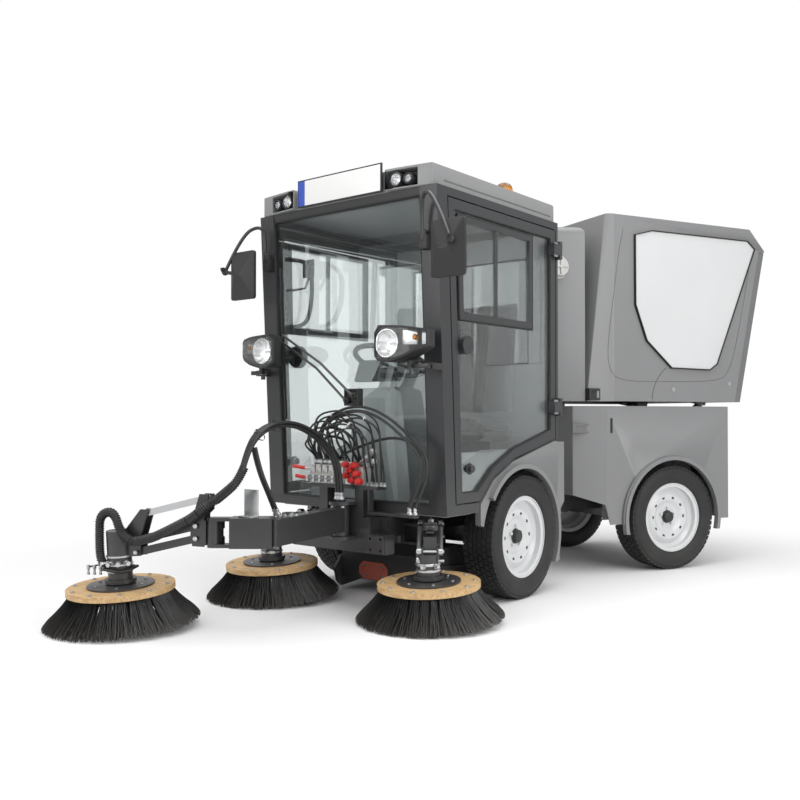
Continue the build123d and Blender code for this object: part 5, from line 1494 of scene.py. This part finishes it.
# %% Side arms
for s, side, body in ((1, "left", "left_arm"), (-1, "right", "right_arm")):
    cx, cy, _ = brush_centres[side]
    place = along_arm(s, (cx, cy))
    plated, dark = [], []
    tubes_here = (((66, 392), (SIDE_REACH + 26, 300), 11, -46), ((60, 336), (SIDE_REACH + 30, 262), 13, -46),
                  ((66, 392), (SIDE_REACH + 26, 300), 9, 46))
    for (x0, z0), (x1, z1), radius, y in tubes_here:
        plated.append(pipe([(x0, y, z0), (x1, y, z1)], radius, 18))
        plated.append(rod_end((x0, y, z0), radius + 6))
        plated.append(rod_end((x1, y, z1), radius + 6))
        dark.append(pipe([(x0 + (x1 - x0) * 0.08, y, z0 + (z1 - z0) * 0.08),
                          (x0 + (x1 - x0) * 0.16, y, z0 + (z1 - z0) * 0.16)], radius + 3, 18))
    for x0, x1, z0, z1 in ((46, 104, 306, 410), (SIDE_REACH + 2, SIDE_REACH + 48, 246, 318)):
        for y in (-36, 28):
            dark.append(plate([(x0, z0), (x0 + 6, z1 - 8), (x0 + 14, z1), (x1 - 22, z1), (x1, z0 + 34),
                (x1, z0)], "y", y, y + 8, 1.2))
    for x, z in ((66, 392), (60, 336), (SIDE_REACH + 26, 300), (SIDE_REACH + 30, 262)):
        plated.append(turned([(7, 0), (7, 118)], (x, -58, z), (0, 1, 0), 16))
    dark.append(slab(110, 240, -18, 18, 372, 378, 2))
    dark.append(turned([(22, 0), (34, 0), (36, 3), (36, 20), (34, 23), (22, 23), (20, 20), (20, 3), (22, 0)],
                       (168, 0, 378), UP, 32, open_ends=True))
    plated.append(turned([(9, 0), (9, 22), (14, 22), (14, 34), (8, 36)], (14, 0, 373), UP, 6))
    for y in (-1, 1):
        plated.append(slab(*sorted((14, 30 * y + 14)), -3, 3, 396, 412, 2))
    finished(f"side_arm_tubes_{side}", body, zinc, [moved(shape, place) for shape in plated])
    finished(f"side_arm_brackets_{side}", body, black_steel,
        [moved(shape, place) for shape in dark])
    motor = brush_place((cx, cy))
    ports = [turned([(50.6, 0), (53, 2), (53, 10), (50.6, 12)], (0, 0, 196 + 26 * k), UP, 40,
        open_ends=True) for k in range(2)]
    ports += [turned([(12, 0), (12, 14), (8, 14), (8, 30)], (cosine * 46, sine * 46, 225), (cosine, sine, 0),
        6) for cosine, sine in ((0.3, -0.95), (0.95, -0.3))]
    finished(f"side_motor_rings_{side}", body, zinc, [moved(shape, motor) for shape in ports])

# %% Skid plates
MOUTH_FACE = -345.0
left, right, foot, brow = -180.0, 2.0, 64.0, 151.0
corners = [(left, foot + 26), (left + 26, foot), (right - 26, foot), (right, foot + 26),
           (right, brow - 26), (right - 26, brow), (left + 26, brow), (left, brow - 26)]
guard = plate(corners, "y", MOUTH_FACE - 6, MOUTH_FACE, 1.5)
finished("skid_plate", "chassis", skid_orange, [guard])
places = [(x, MOUTH_FACE - 6, z, FORWARD) for x in (left + 34, right - 34) for z in (foot + 20,
    brow - 20)]
screw_row("skid_screws", "chassis", places, 5, 3, 8)

# %% [markdown]
# The boom is a welded box, and gets a pin head and bolts. The third arm gets hexagon heads at its
# pins, rings and ports on its motor, a hose bent round it, and a water line with three nozzles.

# %% Boom and third arm
places = []
for k in range(4):
    places.append((128 + 12 * k, -1192 + 20 * k, 466.2, UP))
for x, y in ((40, -778), (92, -770), (60, -1010), (104, -1012), (118, -1110)):
    places.append((x, y, 465.6, UP))
screw_row("boom_screws", "front_boom", places, 7, 5, 11)
pins = [turned([(20, 0), (20, 10), (15, 14), (0, 14)], (BOOM_PIN[0], BOOM_PIN[1], 491), UP, 24)]
finished("boom_pin_head", "chassis", black_steel, pins)
for node, body, spots in (
        ("link_upper", "upper_link", ((66, 434), (351, 364))),
        ("link_lower", "lower_link", ((66, 384), (351, 314)))):
    heads = []
    for out, z in spots:
        for face in (-1, 1):
            spot = Vector(on_arm(out, face * 31, z))
            way = Vector(on_arm(out, face * 40, z)) - spot
            heads.append(turned([(11, 0), (11, 5), (8, 8), (0, 8)], spot, way.normalized(), 6))
    finished(f"{node}_pins", body, zinc, heads)
motor_place = brush_place(FRONT_BRUSH)
motor_parts = []
for z in (208, 236, 270):
    motor_parts.append(turned([(50.6, 0), (54, 2), (54, 8), (50.6, 10)], (0, 0, z), UP, 40,
        open_ends=True))
for a in (-100, -70, -40, -10):
    c, n = math.cos(math.radians(a)), math.sin(math.radians(a))
    motor_parts.append(turned([(11, 0), (11, 12), (7, 12), (7, 26), (10, 26), (10, 34)],
        (c * 48, n * 48, 250), (c, n, 0), 6))
finished("third_motor_rings", "third_head", zinc,
    [moved(shape, motor_place) for shape in motor_parts])
ring_points = []
for k in range(28):
    a = 2 * math.pi * k / 28
    ring_points.append(tuple(motor_place @ Vector((70 * math.cos(a), 70 * math.sin(a),
        222 + 5 * math.sin(3 * a)))))
finished("motor_hose_ring", "third_head", hose_rubber, [pipe(ring_points, 6, 10, closed=True)],
    crisp=60)
mist_points = [on_arm(*p) for p in ((452, -20, 292), (500, -30, 262), (560, -10, 246), (610, 6, 236))]
hoses("mist_line", "third_head", [mist_points], 3.6, hose_rubber, step=8, sides=8)
nozzles = []
for out, side_off in ((560, -10), (585, -2), (610, 6)):
    spot = Vector(on_arm(out, side_off, 244))
    nozzles.append(turned([(8, 0), (8, 14), (5, 18), (5, 30), (7, 32), (7, 40)], spot, (0, 0, -1), 10))
finished("mist_nozzles", "third_head", zinc, nozzles)
print("arms dressed")

# %% [markdown]
# ## Rear module
# The hopper, tank and body are rotation-moulded plastic, so every outer edge is well rounded.
# A copy of the CAD mesh is merged back into whole faces, and only its long outer edges get a
# bevel; the thin walls inside keep their corners.

# %% Rounding helper


def rounded(node, body, material, width, least_edge=0.16, least_face=0.05, segments=4, crisp=30, keep=None):
    """A copy of a CAD node with its long convex edges rounded; it stands for the node."""
    bm = bmesh.new()
    bm.from_mesh(nodes[node].data)
    bmesh.ops.transform(bm, matrix=nodes[node].matrix_world, verts=bm.verts)
    bmesh.ops.remove_doubles(bm, verts=bm.verts, dist=2e-5)
    bmesh.ops.dissolve_limit(bm, angle_limit=math.radians(1.0), verts=bm.verts, edges=bm.edges)
    weight = bm.edges.layers.float.new("bevel_weight_edge")
    chosen = 0
    for edge in bm.edges:
        if len(edge.link_faces) != 2 or edge.calc_length() < least_edge:
            continue
        if edge.calc_face_angle_signed() < math.radians(8):
            continue
        if min(face.calc_area() / edge.calc_length() for face in edge.link_faces) < least_face:
            continue
        if keep is not None and not keep((edge.verts[0].co + edge.verts[1].co) / 2):
            continue
        edge[weight] = 1.0
        chosen += 1
    mesh = bpy.data.meshes.new(f"{node}_whole")
    bm.to_mesh(mesh)
    bm.free()
    base = placed(f"{node}_whole", mesh)
    soft = base.modifiers.new("round", "BEVEL")
    soft.limit_method = "WEIGHT"
    soft.width = width / 1000
    soft.segments = segments
    soft.use_clamp_overlap = True
    result = baked(base)
    bpy.data.objects.remove(base)
    piece = seated(f"{node}_rounded", body, material, result, crisp)
    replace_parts(piece, node)
    print(node, "rounded edges:", chosen)
    return piece


rounded("hopper", "hopper_body", body_grey, 22)
rounded("hopper_door", "rear_door", lower_grey, 14, 0.3)
rounded("water_tank", "rear_module", body_grey, 26, 0.3)
rounded("rear_body", "rear_module", body_grey, 12, 0.3)
rounded("fenders_front", "chassis", body_grey, 7, 0.2, 0.02)

# %% [markdown]
# The silver side panels sit in a black gasket and are screwed on. The gasket follows the rim of
# the CAD panel; seams are thin dark lines on the hopper's side, and the moulded crease is a thin dark line
# of painted shade.

# %% Hopper panels
strips = []
panel_x = 0.56
for way in ((1, 0, 0), (-1, 0, 0)):
    loops = rims("hopper_panels", way, to_rear, 0.97, 0.5)
    if loops:
        panel_x = abs(loops[0][0].x)
        path = [p + Vector(way) * 0.0006 for p in thinned(loops[0], 0.01)]
        strips.append(pipe(path, 0.0075, 8, closed=True, flat=0.5))
gasket = finished("hopper_gaskets", "hopper_body", rubber_seal, strips, where=to_rear, millimetres=False,
    crisp=60)
panel_screws = [(1519, 1844), (2107, 1846), (1384, 1514), (1988, 1510), (1711, 1239)]
low_screws = [(1580, 1026), (2009, 1066)]
places = []
for s in (1, -1):
    places += [(s * (panel_x * 1000 + 0.3), y, z, (s, 0, 0)) for y, z in panel_screws]
screw_row("panel_screws", "hopper_body", places, 6, 3, 9, zinc, to_rear, sides=12)
print("panel plane", round(panel_x, 4))

# %% Hopper lines
skins = {}


def side_x(node, y, z, default):
    """How far out a CAD node's left side lies at a place of the straight rear module, in millimetres."""
    if node not in skins:
        mesh = nodes[node].data
        skins[node] = BVHTree.FromPolygons([nodes[node].matrix_world @ v.co for v in mesh.vertices],
                                           [tuple(p.vertices) for p in mesh.polygons])
    start_at = to_rear @ Vector((1.2, y / 1000, z / 1000))
    way = (to_rear.to_3x3() @ Vector((-1, 0, 0))).normalized()
    spot = skins[node].ray_cast(start_at, way)[0]
    return (to_rear.inverted() @ spot).x * 1000 if spot is not None else default


def line_on(node, name, body, outline, radius, material, proud=0.0, closed=False, step=40, both=True):
    """A thin line laid on both sides of a node, following its surface."""
    shapes = []
    spots = []
    runs = list(zip(outline, outline[1:] + (outline[:1] if closed else [])))
    if not closed:
        runs = runs[: len(outline) - 1]
    for (y0, z0), (y1, z1) in runs:
        count = max(1, int(math.hypot(y1 - y0, z1 - z0) / step))
        for k in range(count):
            t = k / count
            spots.append((y0 + (y1 - y0) * t, z0 + (z1 - z0) * t))
    if not closed:
        spots.append(outline[-1])
    path = [(side_x(node, y, z, 560.0) + proud, y, z) for y, z in spots]
    for s in ((1, -1) if both else (1,)):
        shapes.append(pipe([(s * x, y, z) for x, y, z in path], radius, 8, closed=closed, flat=0.6))
    return finished(name, body, material, shapes, where=to_rear, crisp=60)


def eased(outline, rounds=2):
    """The outline with its corners cut, so that a line drawn on it turns softly."""
    for _ in range(rounds):
        fresh = [outline[0]]
        for (y0, z0), (y1, z1) in zip(outline, outline[1:]):
            fresh += [(0.75 * y0 + 0.25 * y1, 0.75 * z0 + 0.25 * z1),
                (0.25 * y0 + 0.75 * y1, 0.25 * z0 + 0.75 * z1)]
        fresh.append(outline[-1])
        outline = fresh
    return outline


# The crease line is painted shade: a dark line where the moulded fold is shadowed.
crease = eased([(1221, 1924), (1178, 1737), (1125, 1306), (1125, 1140), (1182, 1070), (1520, 1070),
    (1898, 1078), (2008, 1124), (2090, 1389), (2190, 1850)])
line_on("hopper", "hopper_crease", "hopper_body", crease, 1.6, crease_shade_grey)
seam = eased([(1527, 1151), (1470, 1100), (1432, 1030), (1423, 962)])
line_on("hopper", "hopper_seam", "hopper_body", seam, 1.8, rubber_seal)

# %% Hopper fittings
fittings = []
for s in (1, -1):
    x = side_x("hopper", 1060, 1000, 530.0)
    latch = carved("latch", side_slab(s, x - 30, x + 12, 1012, 1094, 962, 1028, 5),
                   [side_slab(s, x + 4, x + 20, 1026, 1080, 975, 1014)], round_edges=1.5)
    fittings.append(latch)
finished("hopper_latches", "hopper_body", black_plastic, fittings, to_rear)
places = [(s * (side_x("hopper", y, z, 560) + 0.3), y, z, (s, 0, 0)) for s in (1, -1) for y, z in low_screws]
screw_row("hopper_low_screws", "hopper_body", places, 8, 3, 12, zinc, to_rear, sides=12)
print("hopper dressed")

# %% [markdown]
# The tank's filler cap is a screwed lid on its own flange, with a wing grip. It is turned from one
# profile, and its place on the tank's side is measured with a ray, so it always touches.

# %% Tank cap
cap_z = 1700.0
cap_x = side_x("water_tank", 880.0, cap_z, 330.0)
cap = [turned([(0, 0), (66, 0), (66, 10), (58, 14), (54, 26), (50, 30), (0, 30)], (cap_x + 0.4, 870, cap_z),
    (1, 0, 0), 40), slab(cap_x + 28, cap_x + 40, 864, 876, cap_z - 42, cap_z + 42, 4),
    slab(cap_x + 28, cap_x + 38, 828, 912, cap_z - 6, cap_z + 6, 3)]
finished("filler_cap", "rear_module", valve_grey, cap, to_rear)

# %% Body fittings
lower = []
for s in (1, -1):
    x = side_x("rear_body", 1000, 806, 540.0)
    handle = carved("handle", side_slab(s, x - 6, x + 5, 904, 1078, 780, 832, 3),
                    [side_slab(s, x + 0.5, x + 9, 918, 1064, 790, 822)], round_edges=1.2)
    lower.append(handle)
    # The slot is painted shade: a thin dark sheet stands for the shaded inside of the slot.
    x = side_x("rear_body", 1136, 820, 558.0)
    lower.append(side_slab(s, x - 3, x + 1.4, 1128, 1144, 780, 862, 1.2))
finished("body_handles", "rear_module", lower_grey, lower[0::2], to_rear)
finished("painted_slot_shade", "rear_module", rubber_seal, lower[1::2], to_rear)
lips = []
arch = []
for k in range(25):
    a = math.radians(14 + (184 - 14) * k / 24)
    arch.append((WHEELBASE * 1000 + 352 * math.cos(a), 295 + 346 * math.sin(a)))
for s in (1, -1):
    lips.append(pipe([(s * 566, y, z) for y, z in arch], 9, 8))
finished("rear_arch_lips", "rear_module", lower_grey, lips, to_rear)
print("rear module dressed")

# %% [markdown]
# ## Seat
# Cushion and back are padded and covered in woven fabric. Each starts as a slightly small closed
# form that Blender's Cloth blows up, so the crown and the drawn-in sides come from the filling.
# A sewn piping is laid round afterwards, because the remesh would swallow it.

# %% Seat cover
seat_cloth, cover_tree, cover = new_material("seat_cloth")
preset(cover, "Roughness", 0.92)
place = add(cover_tree, "ShaderNodeTexCoord")
weave = add(cover_tree, "ShaderNodeTexWave", {"Scale": 260.0, "Distortion": 3.0,
    "Vector": (place, "Object")})
tone = add(cover_tree, "ShaderNodeMapRange", {"To Min": 0.035, "To Max": 0.075, "Value": (weave, "Fac")})
wire(tone, "Result", cover, "Base Color")
threads = add(cover_tree, "ShaderNodeBump", {"Distance": 0.0006, "Height": (weave, "Fac")})
wire(threads, "Normal", cover, "Normal")


def applied(piece):
    """Turn the piece's modifiers into its plain mesh."""
    mesh = baked(piece)
    piece.modifiers.clear()
    piece.data = mesh


# %% Seat cushion and back


def stuffed(name, shape, voxel, limit):
    """A pad blown up by Cloth from a closed start shape given on the machine in millimetres."""
    piece = finished(name, "chassis", seat_cloth, [shape], crisp=60)
    remesh = piece.modifiers.new("Even faces", "REMESH")
    remesh.mode = "VOXEL"
    remesh.voxel_size = voxel
    piece.modifiers.new("Even", "SMOOTH").iterations = 4
    applied(piece)
    before = [v.co.copy() for v in piece.data.vertices]
    cloth = piece.modifiers.new("Filling", "CLOTH")
    cloth.settings.use_pressure = True
    cloth.settings.uniform_pressure_force = 4.0
    cloth.settings.effector_weights.gravity = 0.0
    for frame in range(1, 21):
        bpy.context.scene.frame_set(frame)
    applied(piece)
    bpy.context.scene.frame_set(1)
    for vertex, old in zip(piece.data.vertices, before):
        move = vertex.co - old
        if move.length > limit:
            vertex.co = old + move * (limit / move.length)
    finer = piece.modifiers.new("Finer", "SUBSURF")
    finer.levels = finer.render_levels = 1
    applied(piece)
    for polygon in piece.data.polygons:
        polygon.use_smooth = True
    return piece


PAD_VOXEL = 0.007
CUSHION_LIMIT = 0.020
BACK_LIMIT = 0.018
cushion = stuffed("seat_cushion_pad", slab(-212, 212, -92, 226, 752, 842, 34), PAD_VOXEL, CUSHION_LIMIT)
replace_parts(cushion, "seat_cushion")
back_shape = plate([(196, 874), (238, 876), (304, 1462), (272, 1480), (236, 1436)], "x", -204, 204, 22)
backrest = stuffed("seat_back_pad", back_shape, PAD_VOXEL, BACK_LIMIT)
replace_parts(backrest, "seat_back")
piping = [pipe([(-226, -98, 800), (226, -98, 800), (228, -94, 800), (228, 236, 800), (-228, 236, 800),
                (-228, -94, 800)], 4, 8, closed=True)]
finished("seat_piping", "chassis", black_plastic, piping, crisp=60)
print("seat pads:", len(cushion.data.polygons), len(backrest.data.polygons), "faces")

# %% [markdown]
# ## Beacon, wheels and hinge rollers
# The beacon is a ribbed amber dome on a black foot. Each wheel gets a black cap, and dark discs
# of painted shade that stand for the shaded inside of the hand holes. The knuckle of the boom gets its two
# upright rollers.

# %% Beacon, wheels and rollers
DISC_DEPTH = 52.0
HAND_HOLES = 10
HAND_HOLE_RING = 114
low, high = (Vector(corner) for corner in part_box("beacon"))
spot = (low + high) * 500 - SHIFT * 1000
foot = turned([(0, 0), (54, 0), (54, 12), (48, 20), (0, 20)], (spot.x, spot.y, low.z * 1000), UP, 40)
dome = [(0, 0), (44, 0), (45, 8), (45, 52), (41, 72), (31, 86), (16, 93), (0, 95)]
lens = finished("beacon_dome", "chassis", amber,
    [turned(dome, (spot.x, spot.y, low.z * 1000 + 20), UP, 48)], crisp=60)
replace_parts(lens, "beacon")
ribs = [turned([(44.6, 0), (46, 1), (46, 3), (44.6, 4)], (spot.x, spot.y, low.z * 1000 + 34 + 12 * k),
    UP, 48, open_ends=True) for k in range(4)]
finished("beacon_foot", "chassis", black_plastic, [foot])
finished("beacon_ribs", "chassis", amber, ribs)
for name, body, side, axle_y, where in wheels:
    face = RIM_PLANE * 1000 - DISC_DEPTH
    cap_and_hole_shade = [turned([(0, 0), (37, 0), (37, 4), (31, 6), (30, 23.5), (26, 26), (0, 26)],
                  (side * (face + 0.6), axle_y, tyre_outer), (side, 0, 0), 36)]
    # The hand-hole discs are painted shade: dark discs on the wheel face where each hole shows shade.
    for k in range(HAND_HOLES):
        a = 2 * math.pi * (k + 0.5) / HAND_HOLES
        cap_and_hole_shade.append(turned([(0, 0), (10, 0), (9, 1.2), (0, 1.2)],
                          (side * (face + 13.2), axle_y + HAND_HOLE_RING * math.sin(a),
                           tyre_outer + HAND_HOLE_RING * math.cos(a)),
                          (side, 0, 0), 18))
    finished(f"hub_cap_and_hole_shade_{name}", body, black_plastic, cap_and_hole_shade, where)
rollers = [turned([(13, 0), (22, 0), (22, 34), (17, 38), (17, 66), (22, 70), (22, 104), (13, 104), (13, 0)],
    (ELBOW_PIN[0] - 34 + 30 * k, ELBOW_PIN[1] + 44 - 12 * k, 353), UP, 28,
    open_ends=True) for k in range(2)]
finished("boom_rollers", "front_boom", black_steel, rollers)
print("beacon, wheel and roller details done")

# %% [markdown]
# ## Studio
# The floor is a stage piece and isn't part of the machine. Further out the camera
# sees it white; the lamps stay soft and moderate.

# %% Floor and light


def mesh_object(name, verts, faces, material=None):
    mesh = bpy.data.meshes.new(name)
    mesh.from_pydata([tuple(v) for v in verts], [], faces)
    mesh.update()
    piece = placed(name, mesh)
    if material is not None:
        mesh.materials.append(material)
    return piece


FLOOR_HALF = 30.0
floor = mesh_object(
    "floor", [(-FLOOR_HALF, -FLOOR_HALF, 0), (FLOOR_HALF, -FLOOR_HALF, 0), (FLOOR_HALF, FLOOR_HALF, 0),
              (-FLOOR_HALF, FLOOR_HALF, 0)], [(0, 1, 2, 3)])
floor_paint, tree, shader = new_material("floor_paint")
preset(shader, "Base Color", (0.86, 0.86, 0.86, 1))
preset(shader, "Roughness", 0.7)
# Beyond a few metres the camera sees plain white, so the floor runs into the backdrop
spot = add(tree, "ShaderNodeTexCoord")
parts_of_spot = add(tree, "ShaderNodeSeparateXYZ", {0: (spot, "Object")})
flat_spot = add(tree, "ShaderNodeCombineXYZ", {"X": (parts_of_spot, "X"), "Y": (parts_of_spot, "Y")})
distance = add(tree, "ShaderNodeVectorMath", {0: (flat_spot, 0)}, operation="LENGTH")
fade = add(tree, "ShaderNodeMapRange", {"From Min": 1.6, "From Max": 3.4, "Value": (distance, "Value")},
    interpolation_type="SMOOTHSTEP")
seen = add(tree, "ShaderNodeLightPath")
by_camera = maths(tree, "MULTIPLY", (fade, "Result"), (seen, "Is Camera Ray"))
plain_white = add(tree, "ShaderNodeEmission", {"Strength": 1.0})
meet = add(tree, "ShaderNodeMixShader", {"Fac": (by_camera, 0), 1: (shader, 0), 2: (plain_white, 0)})
join(tree, meet.outputs[0], tree.nodes["Material Output"].inputs["Surface"])
floor.data.materials.append(floor_paint)

world = bpy.data.worlds.new("studio")
bpy.context.scene.world = world
world.use_nodes = True
tree = world.node_tree
sky = tree.nodes["Background"]
preset(sky, "Color", (1, 1, 1, 1))
preset(sky, "Strength", 0.62)
backdrop = add(tree, "ShaderNodeBackground", {"Color": (1, 1, 1, 1), "Strength": 1.0})
rays = add(tree, "ShaderNodeLightPath")
either = maths(tree, "MAXIMUM", (rays, "Is Camera Ray"), (rays, "Is Transmission Ray"))
choose = add(tree, "ShaderNodeMixShader", {"Fac": (either, 0), 1: (sky, 0), 2: (backdrop, 0)})
join(tree, choose.outputs[0], tree.nodes["World Output"].inputs["Surface"])


def soft_lamp(name, place, aim, size, power):
    lamp = bpy.data.lights.new(name, "AREA")
    lamp.shape = "RECTANGLE"
    lamp.size, lamp.size_y = size
    lamp.energy = power
    piece = placed(name, lamp)
    piece.location = place
    piece.rotation_euler = (Vector(aim) - Vector(place)).to_track_quat("-Z", "Y").to_euler()
    return piece


soft_lamp("top_lamp", (0.5, -0.5, 5.2), (0, 0, 0.8), (5.0, 5.0), 210)
soft_lamp("left_lamp", (5.0, -1.0, 2.6), (0, 0, 1.0), (3.0, 3.5), 120)
soft_lamp("front_lamp", (-1.5, -6.0, 2.8), (0, 0, 1.0), (3.5, 3.0), 90)

bpy.context.scene.view_settings.view_transform = "Standard"
